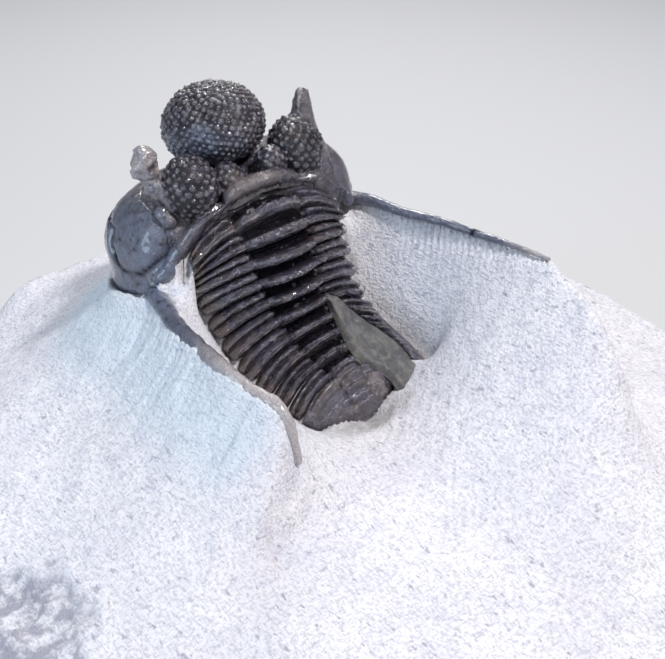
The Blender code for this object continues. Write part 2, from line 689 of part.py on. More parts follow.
def make_head():
    """The cranidium and the two free cheeks, parted along the facial sutures."""
    space = thorax_space()
    below = [(-9, -3), (9, -3), (9, 11), (-9, 11)]
    seat = prism("below_head", below, lambda x: head_margin(x) - SEAT_DEPTH, MARGIN_LEVEL)
    x, y = outline(np.radians(np.linspace(200.0, -20.0, 26)))
    y = HEAD_CENTRE[1] + (y - HEAD_CENTRE[1]) * BORDER_SHARE
    border = np.stack([x * BORDER_SHARE, y, head_margin(x) + BORDER_LEVEL], axis=-1)
    border = rod("border_roll", border, [BORDER_RADIUS], 22, sides=1)
    rear_borders = [
        rod(f"rear_border_{side}", mirrored(REAR_BORDER, side), REAR_RADII, 7) for side in (-1, 1)
    ]

    def shell(u, v):
        return place(head_point(u, v))

    def flat(u, v):
        points = head_point(u, v)
        points[:, 2] = head_margin(points[:, 0]) - BASE_OVERLAP
        return place(points)

    spines = {
        "left": rod("left_spine", LEFT_SPINE, LEFT_SPINE_RADII, 15),
        "right": rod("right_spine", RIGHT_SPINE, RIGHT_SPINE_RADII, 15),
    }
    pieces = []
    for name, side in (("left", -1), ("right", 1)):
        cheek = slab(f"{name}_free_cheek", 13, 13, shell, flat)
        suture = [(x + CLEARANCE, y) for x, y in SUTURE] + [(-12, CHEEK_REAR), (-12, CHEEK_FRONT)]
        rest = prism(f"all_but_{name}_cheek", mirrored(suture, side), lambda x: CUTTER_FLOOR, CUTTER_TOP)
        combine(cheek, "UNION", border, rear_borders[side > 0])
        combine(cheek, "DIFFERENCE", rest, seat, space)
        combine(cheek, "UNION", spines[name])
        pieces.append(cheek)
    crown = slab("cranidium", 13, 13, shell, flat)
    combine(crown, "UNION", border, *rear_borders, rod("neck_ring", NECK_RING, NECK_RING_RADII, 9))
    suture = SUTURE + [(12, CHEEK_REAR), (12, CHEEK_FRONT)]
    for side in (-1, 1):
        room = prism(f"cheek_room_{side}", mirrored(suture, side), lambda x: CUTTER_FLOOR, CUTTER_TOP)
        combine(crown, "DIFFERENCE", room)
    combine(crown, "DIFFERENCE", seat, space)
    for side in (-1, 1):
        centre = mirrored([DOME_CENTRE, BASAL_LOBE_CENTRE, HORN_BASE, HORN_TIP], side)
        combine(crown, "UNION", ball(f"dome_{side}", centre[0], DOME_AXES, 3, True))
        combine(crown, "UNION", ball(f"basal_lobe_{side}", centre[1], [BASAL_LOBE_RADIUS] * 3, 2, True))
        combine(crown, "UNION", rod(f"horn_{side}", centre[2:], HORN_RADII[::-1], 6))
    combine(crown, "UNION", ball("glabella", GLABELLA_CENTRE, GLABELLA_AXES, 4, True))
    return pieces + [crown], space


def make_beds(rock, space):
    """Cuts the room for the animal out of the rock, a little wider than the animal itself."""
    x, y = outline(np.radians(np.arange(0, 360, 8)))
    plan = np.stack([x, y - HEAD_CENTRE[1]], axis=-1) * HEAD_ROOM + HEAD_CENTRE
    head_room = prism("head_room", plan.tolist(), lambda x: head_margin(x) - CLEARANCE, 9.0)
    combine(head_room, "DIFFERENCE", space)
    room = 2 * CLEARANCE
    left = rod("left_spine_room", LEFT_SPINE, LEFT_SPINE_RADII, 15, extra=room)
    right = rod("right_spine_room", RIGHT_SPINE, RIGHT_SPINE_RADII, 15, extra=room)
    for side in (-1, 1):
        border = mirrored(REAR_BORDER, side)
        combine(rock, "DIFFERENCE", rod(f"rear_border_room_{side}", border, REAR_RADII, 7, extra=room))
    combine(rock, "DIFFERENCE", head_room, thorax_bed(), tail_bed(), left, right)


def build():
    for item in list(bpy.data.objects):
        bpy.data.objects.remove(item)
    new_collection(PARTS)
    new_collection(CUTTERS)
    rock = make_rock()
    head, space = make_head()
    make_beds(rock, space)
    thorax = [make_segment(number) for number in range(1, SEGMENTS + 1)]
    set_material(rock, (0.75, 0.74, 0.78), 0.9)
    for piece in head + thorax + [make_pygidium()]:
        set_material(piece, (0.045, 0.035, 0.05), 0.3)
    set_material(make_fill(), (0.14, 0.14, 0.13), 0.7)


build()
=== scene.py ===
"""The looks of the fossil: fine relief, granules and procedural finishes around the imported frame.

The rock is laid out in world axes and the animal in its own axes, x to its right, y forward and z
up from the middle of its neck ring, as in the model. Sizes here are millimetres until they are
handed to Blender, where MM makes them metres.
"""

import math

import bmesh
import bpy
import numpy as np
from mathutils import Matrix, kdtree


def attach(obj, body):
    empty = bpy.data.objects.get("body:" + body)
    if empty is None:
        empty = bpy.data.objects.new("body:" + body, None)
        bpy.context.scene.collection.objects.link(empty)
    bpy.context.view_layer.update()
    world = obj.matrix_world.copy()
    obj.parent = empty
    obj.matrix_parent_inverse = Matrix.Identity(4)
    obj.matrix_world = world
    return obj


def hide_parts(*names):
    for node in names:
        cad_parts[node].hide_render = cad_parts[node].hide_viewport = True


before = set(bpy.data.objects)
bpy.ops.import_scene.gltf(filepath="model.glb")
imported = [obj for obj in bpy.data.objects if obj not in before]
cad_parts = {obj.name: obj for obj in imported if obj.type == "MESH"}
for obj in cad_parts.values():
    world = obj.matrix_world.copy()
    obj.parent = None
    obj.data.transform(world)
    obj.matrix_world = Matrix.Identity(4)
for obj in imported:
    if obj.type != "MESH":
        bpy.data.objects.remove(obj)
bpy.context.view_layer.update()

MM = 0.001

# Camera: where it stands, what it looks along, and its width of view for a 665 by 659 picture
CAMERA_PLACE = (-40.617, -57.734, 49.383)
CAMERA_AZIMUTH = -34.9
CAMERA_ELEVATION = 26.0
CAMERA_ANGLE = 24.0

# The rock block
ROCK_HALF_WIDTH = 23.0
ROCK_HALF_DEPTH = 23.0
CORNER_LOSS = 0.5
PLATEAU_HEIGHT = 11.2
PLATEAU_TILT = 0.13
PLATEAU_SAG = 1.8
SAG_RADIUS = 20.0
TILT_DIRECTION = (0.57, 0.82)
CORNER_DROP = 2.2
CORNER_FROM = (-6.5, 8.0)
RIGHT_DROP = 1.6
RIGHT_DROP_FROM = (9.0, -8.0)
CORNER_EASE = (3.5, 10.0)
RIGHT_EASE = (4.0, 5.0)
FOOT_SPREAD = 3.6
RIGHT_FOOT_SPREAD = 1.3
RIGHT_FOOT_TO = 4.0
CREST_HALF_WIDTH = 0.35
VALLEY_REACH = 6.0
BED_MARGIN = 0.15
LEFT_WALL_END = [(-6.3, -6.3, 11.2), (-6.0, -8.5, 9.4), (-6.0, -23.0, 6.0)]
RIGHT_WALL_END = [(8.5, -9.3, 17.3), (8.8, -11.2, 14.6), (9.3, -13.6, 11.2), (10.0, -23.0, 6.0)]
# Its mesh, whose points crowd towards the middle
ROCK_COLUMNS = 285
ROCK_SIDE_ROWS = 14
GRID_EVEN = 0.58
GRID_CROWDED = 0.42
SMOOTHING_ROUNDS = 400

# The animal's place
NECK = np.array([-1.5, 4.5, 21.5])
NOSE_DOWN = 6.7
RIGHT_SIDE_UP = 7.0

# The thorax
SEGMENTS = 10
BACK_START = (0.0, 0.53, -0.91)
SLOPE_NECK = 36.0
SLOPE_STEEP = 82.0
SLOPE_TAIL = 38.0
STEEPEST_AT = 0.28
BEND_TO_RIGHT = 5.0
SEGMENT_FRONT = 1.16
SEGMENT_REAR = 0.82
AXIS_FRONT = 1.97
AXIS_REAR = 0.75
TIP_FRONT = 4.95
TIP_REAR = 3.2
RIGHT_FLARE = 0.45
RIGHT_SWEEP = 1.0
FLARE_FROM = 5.0
DROP_FRONT = 1.9
DROP_REAR = 0.85
SWEEP_FRONT = 0.53
SWEEP_REAR = 0.8
AXIS_SHARE = 3.0 / 7.0
RING_RISE = 0.85
SHELL = 0.62
TIP_SHELL = 0.38
BACK_STEPS = 400
TAIL_LENGTH = 2.4
TAIL_DROP = 0.7
TAIL_SLOPE_END = 70.0
SEGMENT_GRID = (210, 36)
SEGMENT_KNOBS = 46
TAIL_GRID = (160, 70)

# The fill
FILL_FROM = 5.5
FILL_INNER = 0.43
FILL_OUTER = 0.885
FILL_START_WIDTH = 0.06
FILL_WIDENING = 3.2
FILL_DEPTH = 0.4
FILL_END = 13.0
FILL_GRID = (80, 130)

# The head
MARGIN_LEVEL = -3.5
MARGIN_TILT = 0.085
HEAD_DEPTH = 0.45
HEAD_MIDDLE = 4.0
CROWN = 0.9
GLABELLA_CENTRE = (0.0, 3.76, 2.72)
GLABELLA_AXES = (2.62, 2.75, 2.15)
DOME_CENTRE = (3.2, 1.46, 0.75)
DOME_AXES = (1.38, 1.45, 1.7)
BASAL_LOBE_CENTRE = (1.35, 1.0, 0.75)
BASAL_LOBE_RADIUS = 0.8
BULB_PIT = (-4.9, 1.65, 2.25)
BROWN_SPOT = (1.2, 2.0, 4.2)
# Where the glabella faces this way, a bluish sheen is painted on it
BLUE_SHEEN_SIDE = (-0.72, -0.45, -0.53)
# Granules: how fine the ball is, their number, radius and height
GLABELLA_GRANULES = (7, 680, 0.14, 0.11)
DOME_GRANULES = (6, 190, 0.15, 0.11)
LOBE_GRANULES = (5, 60, 0.15, 0.1)
# No tube runs along this direction, which its rings are turned from
TUBE_REFERENCE = (0.35, 0.13, 0.93)
MARGIN = [
    (0, 8.5), (2.9, 8.1), (5.0, 7.15), (6.4, 5.9), (6.95, 4.4),
    (6.75, 2.9), (6.2, 1.6), (4.9, 1.0), (2.6, 0.3), (0, 0),
]
SUTURE = [(2.6, 9.5), (3.0, 7.2), (3.9, 5.2), (4.95, 3.6), (5.15, 2.2), (5.0, 1.2), (4.9, -1.0)]
REAR_BORDER = [
    (1.9, 0.2, -0.45), (3.2, 0.35, -0.7), (4.66, 0.93, -1.88), (5.5, 1.25, -2.85), (6.02, 1.83, -3.2),
]
LEFT_SPINE = [
    (-6.1, 2.3, -3.85), (-6.8, -1.4, -4.8), (-6.9, -5.1, -5.6), (-6.6, -7.0, -6.4), (-6.2, -9.0, -7.2),
    (-6.2, -9.3, -9.8),
]
RIGHT_SPINE = [
    (6.1, 2.2, -3.1), (6.5, 0.2, -3.05), (6.9, -1.6, -3.4), (7.6, -4.0, -3.7), (8.3, -6.3, -4.2),
    (8.8, -8.7, -4.55), (9.15, -10.5, -4.9),
]

# The studio: each lamp's name, place, size, watts and colour
LAMPS = [
    ("key", (20.0, -75.0, 145.0), 13.0, 0.23, (1.0, 0.985, 0.97)),
    ("left", (-140.0, -10.0, 60.0), 70.0, 0.1, (0.66, 0.84, 1.0)),
    ("rear", (70.0, 110.0, 120.0), 36.0, 0.12, (1.0, 1.0, 1.0)),
]
LAMP_TARGET = (0.0, 0.0, 16.0)
WORLD_COLOUR = (0.96, 0.97, 1.0, 1.0)
WORLD_STRENGTH = 0.25
FLOOR_COLOUR = (0.6, 0.6, 0.62, 1.0)
FLOOR_ROUGHNESS = 0.85
FLOOR_CORNERS = [(-3, -3, 0), (3, -3, 0), (3, 3, 0), (-3, 3, 0)]

# The sockets of a Mix node for colours, whose names repeat
MIX_FACTOR, MIX_UNDER, MIX_OVER, MIX_RESULT = 0, 6, 7, 2


def turn(angle, axis):
    """A rotation matrix about the x or the y axis."""
    c, s = math.cos(math.radians(angle)), math.sin(math.radians(angle))
    rows = {
        "x": ((1, 0, 0), (0, c, -s), (0, s, c)),
        "y": ((c, 0, s), (0, 1, 0), (-s, 0, c)),
    }
    return np.array(rows[axis])


POSE = turn(-NOSE_DOWN, "x") @ turn(-RIGHT_SIDE_UP, "y")


def place(points):
    return np.asarray(points) @ POSE.T + NECK


def ease(t):
    """A smooth step from 0 to 1 as t runs from 0 to 1."""
    t = clamp(t)
    return t * t * (3 - 2 * t)


def clamp(t):
    return np.clip(t, 0, 1)


def blend(a, b, t):
    return a + (b - a) * t


def xyz(x, y, z):
    return np.stack([x, y, z], axis=-1)


def bell(x, centre, width):
    """A smooth hump of height 1 around centre."""
    return np.exp(-(((x - centre) / width) ** 2))


def curve_through(knots, places):
    """Points on a smooth curve through a few knots, at places from 0 to 1 along it."""
    knots = np.array(knots, float)
    padded = np.vstack([2 * knots[0] - knots[1], knots, 2 * knots[-1] - knots[-2]])
    places = clamp(places) * (len(knots) - 1)
    index = np.minimum(places.astype(int), len(knots) - 2)
    t = (places - index)[..., None]
    a, b, c, d = (padded[index + k] for k in range(4))
    return 0.5 * (2 * b + (c - a) * t + (2 * a - 5 * b + 4 * c - d) * t**2 + (3 * b - a - 3 * c + d) * t**3)


def lattice(i, j, k, seed):
    """A random number from -1 to 1 for each whole-number place."""
    mixed = (i * 374761393 + j * 668265263 + k * 2147483647 + seed * 1274126177) & 0xFFFFFFFF
    mixed = ((mixed ^ (mixed >> 13)) * 1103515245) & 0xFFFFFFFF
    mixed = (mixed ^ (mixed >> 16)) * 69069 & 0xFFFFFFFF
    return (mixed >> 8 & 0xFFFF) / 32767.5 - 1.0


def noise(points, size, seed, octaves=3):
    """Smooth noise from about -1 to 1, with features size millimetres across, different for each seed."""
    points = np.asarray(points, float) / size
    total, weight = np.zeros(len(points)), 1.0
    for octave in range(octaves):
        whole = np.floor(points).astype(np.int64)
        part = ease(points - whole)
        value = np.zeros(len(points))
        for corner in range(8):
            step = np.array([corner & 1, corner >> 1 & 1, corner >> 2 & 1])
            share = np.prod(np.where(step, part, 1 - part), axis=1)
            value += share * lattice(*(whole + step).T, seed + octave)
        total += value * weight
        points, weight = points * 2.03 + 7.1, weight * 0.5
    return total / 1.5


def noise_on(points, size, seed, octaves=3):
    """Noise for a tube's points, ring by ring."""
    return noise(points.reshape(-1, 3), size, seed, octaves).reshape(points.shape[:2])


def grid_places(first, second):
    """Every pair from two lists, flat, with the first changing fastest."""
    b, a = np.meshgrid(second, first, indexing="ij")
    return a.ravel(), b.ravel()


def unit_grid(columns, rows):
    return grid_places(np.linspace(0, 1, columns), np.linspace(0, 1, rows))


def back_line():
    """Fine stations along the back: place, tangent, dorsal normal and right, each one row a step."""
    u = np.linspace(0, 1, BACK_STEPS + 1)
    rise = blend(SLOPE_NECK, SLOPE_STEEP, ease(u / STEEPEST_AT))
    fall = blend(SLOPE_STEEP, SLOPE_TAIL, ease((u - STEEPEST_AT) / (1 - STEEPEST_AT)))
    slope = np.radians(np.where(u < STEEPEST_AT, rise, fall))
    bend = np.radians(BEND_TO_RIGHT * ease((u - 0.3) / 0.5))
    zero = np.zeros_like(u)
    straight = np.stack([zero, -np.cos(slope), -np.sin(slope)], axis=1)
    normal = np.stack([zero, -np.sin(slope), np.cos(slope)], axis=1)
    side = np.stack([zero + 1.0, zero, zero], axis=1)
    cos, sin = np.cos(bend)[:, None], np.sin(bend)[:, None]
    tangent = straight * cos + side * sin
    right = side * cos - straight * sin
    length = blend(SEGMENT_FRONT, SEGMENT_REAR, u[:-1]) * SEGMENTS / BACK_STEPS
    steps = (tangent[:-1] + tangent[1:]) / 2 * length[:, None]
    line = np.vstack([[BACK_START], BACK_START + np.cumsum(steps, axis=0)])
    return line, tangent, normal, right


BACK = back_line()


def at_station(t):
    """Place, tangent, normal and right at stations from 0 at the neck to SEGMENTS at the tail."""
    index = np.clip(t, 0.0, SEGMENTS) / SEGMENTS * BACK_STEPS
    low = np.minimum(index.astype(int), BACK_STEPS - 1)
    share = (index - low)[..., None]
    found = [rows[low] * (1 - share) + rows[low + 1] * share for rows in BACK]
    found[0] = found[0] + found[1] * (t - np.clip(t, 0.0, SEGMENTS))[..., None]
    return found


def axis_half_width(t):
    return blend(AXIS_FRONT, AXIS_REAR, (np.clip(t, 0, SEGMENTS) / SEGMENTS) ** 1.5)


def flared(t, q):
    """From 0 to 1 at the rear on the right, where the pleurae reach further out and back."""
    return ease((t - FLARE_FROM) / (SEGMENTS - FLARE_FROM)) * (q > 0)


def tip_half_width(t, q):
    width = blend(TIP_FRONT, TIP_REAR, (np.clip(t, 0, SEGMENTS) / SEGMENTS) ** 1.5)
    return width * blend(0.9, 1.0, ease(t / 3.0)) * (1 + RIGHT_FLARE * flared(t, q))


def arch(across):
    """The rise of the axis, from 1 at its middle to 0 at its edges."""
    return 1 - across**2.2


def bent_down(beyond):
    """How far the pleurae come down, from 0 at the axis to 1 at their tips."""
    return 0.12 * beyond + 0.88 * beyond**1.9


def back_point(t, q, lift, along=0.0):
    """A point of the thorax: station t, q from -1 at the left tips to 1 at the right, raised by lift."""
    line, tangent, normal, right = at_station(t)
    share = clamp(t / SEGMENTS)
    out = np.abs(q)
    across = clamp(out / AXIS_SHARE)
    beyond = np.maximum((out - AXIS_SHARE) / (1 - AXIS_SHARE), 0)
    axis, tip = axis_half_width(t), tip_half_width(t, q)
    x = np.sign(q) * (axis * across + (tip - axis) * beyond)
    beyond = np.minimum(beyond, 1.05)
    ring = RING_RISE * blend(1.0, 0.6, share) * arch(across)
    drop = blend(DROP_FRONT, DROP_REAR, share) * blend(0.6, 1.0, ease(t / 3.0))
    height = ring - drop * bent_down(beyond) + lift
    sweep = (blend(SWEEP_FRONT, SWEEP_REAR, share) + RIGHT_SWEEP * flared(t, q)) * beyond**2 + along
    return line + right * x[..., None] + normal * height[..., None] + tangent * sweep[..., None]


def tail_point(v, q, lift):
    """A point of the tail shield: v from 0 at its front edge to 1 at its rim, q across."""
    line, tangent, normal, right = at_station(np.full_like(v, float(SEGMENTS)))
    out = np.abs(q)
    across = clamp(out / AXIS_SHARE)
    beyond = np.clip((out - AXIS_SHARE) / (1 - AXIS_SHARE), 0.0, 1.05)
    width = np.sqrt(clamp(1 - 0.84 * v**2.4))
    x = np.sign(q) * (AXIS_REAR * across + (TIP_REAR - AXIS_REAR) * beyond) * width
    ring = 0.6 * RING_RISE * arch(across) * (1 - ease(v / 0.75))
    sag = DROP_REAR * bent_down(beyond) * (1 - 0.3 * v) + TAIL_DROP * v**3
    slope = np.radians(TAIL_SLOPE_END - SLOPE_TAIL) * v / 2
    reach = TAIL_LENGTH * v * (1 - 0.12 * beyond**2)
    along = reach * np.cos(slope) + SWEEP_REAR * beyond**2 * (1 - v)
    height = ring - sag + lift - reach * np.sin(slope)
    return line + right * x[..., None] + normal * height[..., None] + tangent * along[..., None]


def shell_depth(q):
    return blend(SHELL, TIP_SHELL, clamp(np.abs(q)) ** 3)


def head_margin(x):
    """Height of the head's rim, which is lower on the left."""
    return MARGIN_LEVEL + MARGIN_TILT * x


def outline(angle):
    """The head's outline from above, at an angle about its centre, counted from the right side."""
    right = np.array(MARGIN, float)
    loop = np.vstack([right, (right * (-1, 1))[-2:0:-1]])
    loop = curve_through(np.vstack([loop, loop[:1]]), np.linspace(0, 1, 240))
    around = np.arctan2(loop[:, 1] - HEAD_MIDDLE, loop[:, 0])
    order = np.argsort(around)
    x = np.interp(angle, around[order], loop[order, 0], period=2 * math.pi)
    y = np.interp(angle, around[order], loop[order, 1], period=2 * math.pi)
    return x, y


def crest_line():
    """The top edge of the rock in world axes: up the left wall, round the head, down the right wall."""
    angle = np.radians(np.linspace(200.0, -20.0, 90))
    x, y = outline(angle)
    margin = place(xyz(x, y, head_margin(x) - 0.08))

    def side(knots, end):
        spine = place(curve_through(knots, np.linspace(0, 1, 40)))
        run_out = curve_through(np.vstack([spine[-1:], end]), np.linspace(0, 1, 40))
        return np.vstack([spine, run_out[1:]])

    return np.vstack([side(LEFT_SPINE, LEFT_WALL_END)[::-1], margin, side(RIGHT_SPINE, RIGHT_WALL_END)])


def nearest(points, targets):
    """The distance from each point to the nearest target, and that target's place in the list."""
    tree = kdtree.KDTree(len(targets))
    for index, target in enumerate(targets):
        tree.insert(target, index)
    tree.balance()
    found = np.array([tree.find(point)[1:] for point in points])
    return found[:, 1], found[:, 0].astype(int)


def inside(x, y, loop):
    """Whether points lie inside a closed loop."""
    crosses = np.zeros(len(x), int)
    for a, b in zip(loop, np.roll(loop, -1, axis=0)):
        if a[1] != b[1]:
            at = a[0] + (y - a[1]) * (b[0] - a[0]) / (b[1] - a[1])
            crosses += ((a[1] > y) != (b[1] > y)) & (x < at)
    return crosses % 2 == 1


def plain(x, y):
    """The broken face of the rock away from the animal."""
    tilt = PLATEAU_TILT * (TILT_DIRECTION[0] * x + TILT_DIRECTION[1] * y)
    corner = CORNER_DROP * ease((CORNER_FROM[0] - x) / CORNER_EASE[0])
    corner = corner * ease((y - CORNER_FROM[1]) / CORNER_EASE[1])
    right = RIGHT_DROP * ease((x - RIGHT_DROP_FROM[0]) / RIGHT_EASE[0])
    right = right * ease((y - RIGHT_DROP_FROM[1]) / RIGHT_EASE[1])
    return PLATEAU_HEIGHT + tilt - PLATEAU_SAG * (x * x + y * y) / SAG_RADIUS**2 - corner - right


def rock_height(x, y):
    """Height of the rock, and how far each point is from a wall top, along it, and from the animal."""
    crest = crest_line()
    t, q = grid_places(np.linspace(-0.3, SEGMENTS, 104), np.linspace(-1.0, 1.0, 81))
    v, across = grid_places(np.linspace(0, 1, 26), np.linspace(-1.0, 1.0, 61))
    tail = tail_point(v, across, np.full_like(v, -TIP_SHELL))
    bed = place(np.vstack([back_point(t, q, -shell_depth(q)), tail]))
    flat = np.array([1.0, 1.0, 0.0])
    points = xyz(x, y, 0 * x)
    to_crest, at_crest = nearest(points, crest * flat)
    to_bed, at_bed = nearest(points, bed * flat)
    length = np.concatenate([[0.0], np.cumsum(np.linalg.norm(np.diff(crest, axis=0), axis=1))])
    along = length[at_crest]
    top, low = crest[at_crest, 2], bed[at_bed, 2]
    ground = plain(x, y)
    floor = blend(low + BED_MARGIN, ground, ease(to_bed / VALLEY_REACH))
    up = (to_bed / (to_bed + to_crest + 1e-9)) ** 1.3 * np.exp(-((to_crest / VALLEY_REACH) ** 2))
    valley = floor + np.maximum(top - floor, 0) * up
    away = np.maximum(to_crest - CREST_HALF_WIDTH, 0)
    on_right = ease(x / RIGHT_FOOT_TO)
    spread = blend(FOOT_SPREAD, RIGHT_FOOT_SPREAD, on_right)
    flank = ground + np.maximum(top - ground, 0) * np.exp(-away / spread)
    within = inside(x, y, crest[:, :2])
    height = np.where(within, valley, flank)
    return height, to_crest, along, to_bed, low, within


def smoothed(height, weight, count, rounds):
    """A height field whose points move towards the mean of their neighbours, each by its weight."""
    field, weight = height.reshape(count, count).copy(), weight.reshape(count, count)[1:-1, 1:-1]
    for _ in range(rounds):
        mean = (field[:-2, 1:-1] + field[2:, 1:-1] + field[1:-1, :-2] + field[1:-1, 2:]) / 4
        field[1:-1, 1:-1] += weight * (mean - field[1:-1, 1:-1])
    return field.ravel()


def rock_edge(y):
    """Half the rock's width at a place along its depth, with its corners broken off."""
    return ROCK_HALF_WIDTH * (1 - CORNER_LOSS * np.abs(y / ROCK_HALF_DEPTH) ** 3)


def grid_rim(ids):
    return np.concatenate([ids[0], ids[1:, -1], ids[-1, -2::-1], ids[-2:0:-1, 0]])


def grid_quads(columns, rows):
    """Quads of a grid of points stored row by row."""
    corner = (np.arange(rows - 1)[:, None] * columns + np.arange(columns - 1)).ravel()
    return np.stack([corner, corner + 1, corner + 1 + columns, corner + columns], axis=1)


def set_values(mesh, attributes):
    """Stores values for a mesh's points, with zeros for those past the end of a list."""
    for key, values in attributes.items():
        layer = mesh.attributes.get(key) or mesh.attributes.new(key, "FLOAT", "POINT")
        values = np.pad(values, (0, len(mesh.vertices) - len(values)))
        layer.data.foreach_set("value", values.astype(np.float32))


def stored(mesh, key):
    values = np.zeros(len(mesh.vertices), np.float32)
    if key in mesh.attributes:
        mesh.attributes[key].data.foreach_get("value", values)
    return values


def make_mesh(name, points, groups, attributes=None):
    """A mesh from points in millimetres and groups of faces with equal numbers of corners."""
    mesh = bpy.data.meshes.new(name)
    faces = [face for group in groups for face in group.tolist()]
    mesh.from_pydata((points * MM).tolist(), [], faces)
    shape = bmesh.new()
    shape.from_mesh(mesh)
    if shape.calc_volume(signed=True) < 0:
        bmesh.ops.reverse_faces(shape, faces=shape.faces[:])
        shape.to_mesh(mesh)
    shape.free()
    set_values(mesh, attributes or {})
    return mesh


def linked(name, data):
    """A new object in the scene."""
    item = bpy.data.objects.new(name, data)
    bpy.context.scene.collection.objects.link(item)
    return item


def solid(name, points, groups, attributes=None):
    """A closed shape that is only used to make a piece."""
    return linked(name, make_mesh(name, points, groups, attributes))


def show(name, mesh, node, material):
    """A piece of the fossil, on the one body, that stands for a node of the model."""
    mesh.shade_smooth()
    mesh.materials.clear()
    mesh.materials.append(material)
    piece = linked(name, mesh)
    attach(piece, "root")
    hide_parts(node)


def combined(base, steps):
    """The mesh of a shape after a list of Boolean steps. All the shapes used are removed."""
    for operation, others in steps:
        for other in others:
            modifier = base.modifiers.new(other.name, "BOOLEAN")
            modifier.operation = operation
            modifier.object = other
            modifier.solver = "MANIFOLD"
    bpy.context.view_layer.update()
    evaluated = base.evaluated_get(bpy.context.evaluated_depsgraph_get())
    mesh = bpy.data.meshes.new_from_object(evaluated)
    for item in [base] + [other for _, others in steps for other in others]:
        bpy.data.objects.remove(item)
    return mesh


def mesh_points(mesh):
    """A mesh's points in the animal's axes, in millimetres."""
    points = np.empty(len(mesh.vertices) * 3, np.float32)
    mesh.vertices.foreach_get("co", points)
    return (points.reshape(-1, 3) / MM - NECK) @ POSE


def slab(columns, rows, top, bottom):
    """Points and quads of a closed solid between two functions of u and v, which run from 0 to 1."""
    u, v = unit_grid(columns, rows)
    quads = grid_quads(columns, rows)
    count = columns * rows
    ids = np.arange(count).reshape(rows, columns)
    rim = grid_rim(ids)
    after = np.roll(rim, -1)
    walls = np.stack([after, rim, rim + count, after + count], axis=1)
    return np.vstack([top(u, v), bottom(u, v)]), [quads, quads[:, ::-1] + count, walls]


def tube(knots, radii, count, sides=20, relief=None):
    """Points and faces of a tapering tube with round ends along a smooth curve of the animal."""
    places = np.linspace(0, 1, count)
    line = curve_through(knots, places)
    tangent = np.gradient(line, axis=0)
    tangent /= np.linalg.norm(tangent, axis=1)[:, None]
    radius = np.interp(places, np.linspace(0, 1, len(radii)), radii)
    length = np.linalg.norm(np.diff(line, axis=0), axis=1).sum()
    cap = clamp(np.minimum(places, 1 - places) * length / radius)
    roundness = np.sqrt(np.clip(1 - (1 - cap) ** 2, 0.0004, 1))
    side = np.cross(tangent, TUBE_REFERENCE)
    side /= np.linalg.norm(side, axis=1)[:, None]
    up = np.cross(side, tangent)
    angle = np.linspace(0, 2 * math.pi, sides, endpoint=False)[:, None]
    ring = side[:, None] * np.cos(angle) + up[:, None] * np.sin(angle)
    size = np.tile(radius[:, None], (1, sides))
    if relief:
        size = size + relief(line[:, None] + ring * size[..., None], ring, places[:, None])
    points = line[:, None] + ring * (size * roundness[:, None])[..., None]
    row = np.arange(sides)
    after = np.roll(row, -1)
    base = np.arange(count - 1)[:, None] * sides
    quads = np.stack([base + row, base + after, base + sides + after, base + sides + row], axis=-1)
    start, last = count * sides, (count - 1) * sides
    near = np.stack([np.full(sides, start), after, row], axis=1)
    far = np.stack([np.full(sides, start + 1), last + row, last + after], axis=1)
    points = np.vstack([points.reshape(-1, 3), line[[0, -1]]])
    return place(points), [quads.reshape(-1, 4), np.vstack([near, far])]


def rough(amount, size, seed):
    """Relief for a tube: irregular bumps."""
    return lambda points, ring, places: amount * noise_on(points, size, seed)


def tubercled(centre, axes, detail, count, size, rise, seed):
    """An ellipsoid set closely with rounded tubercles of mixed sizes."""
    shape = bmesh.new()
    bmesh.ops.create_icosphere(shape, subdivisions=detail, radius=1.0)
    unit = np.array([vertex.co[:] for vertex in shape.verts])
    faces = np.array([[vertex.index for vertex in face.verts] for face in shape.faces])
    shape.free()
    random = np.random.default_rng(seed)
    k = np.arange(count) + 0.5
    level = 1 - 2 * k / count
    turn_by = k * math.pi * (3 - math.sqrt(5))
    ring = np.sqrt(1 - level**2)
    peaks = np.stack([ring * np.cos(turn_by), ring * np.sin(turn_by), level], axis=1)
    peaks += random.normal(0, 0.28 / math.sqrt(count), peaks.shape)
    peaks /= np.linalg.norm(peaks, axis=1)[:, None]
    gap, index = nearest(unit * axes, peaks * axes)
    spans = size * random.uniform(0.6, 1.35, count)
    heights = rise * random.uniform(0.35, 1.2, count)
    bead = clamp(1 - (gap / spans[index]) ** 2) ** 0.8
    lift = heights[index] * bead + 0.045 * noise(unit * axes, 0.3, seed)
    lift += 0.05 * noise(unit * axes, 1.6, seed + 1)
    points = unit * (np.array(axes) + lift[:, None]) + centre
    # Painted shade goes between the granules.
    return place(points), [faces], {"painted_shade": 0.66 * (1 - bead) ** 2, "bead": bead}


def prism(name, plan, low, high):
    """An upright prism in the animal's axes, over a flat outline, between two heights."""
    floor = np.array([(x, y, low(x)) for x, y in plan])
    roof = floor + [0.0, 0.0, high - low(0.0)]
    count = len(plan)
    row = np.arange(count)
    after = np.roll(row, -1)
    walls = np.stack([row, after, after + count, row + count], axis=1)
    caps = np.stack([row[::-1], row + count])
    return solid(name, place(np.vstack([floor, roof])), [walls, caps])


def thorax_space():
    """All the room behind the first segment's front face, which the head keeps out of."""
    behind = 4 * at_station(np.zeros(1))[1]

    def face(u, v, moved=0.0):
        points = back_point(np.full_like(u, -0.02), blend(-1.2, 1.2, u), blend(-3.6, 2.5, v))
        return place(points + moved)

    return solid("space", *slab(25, 3, face, lambda u, v: face(u, v, behind)))


def mirrored(points, side):
    """The points on the right for side 1, and their mirror images on the left for -1."""
    return [(x * side, *rest) for x, *rest in points]


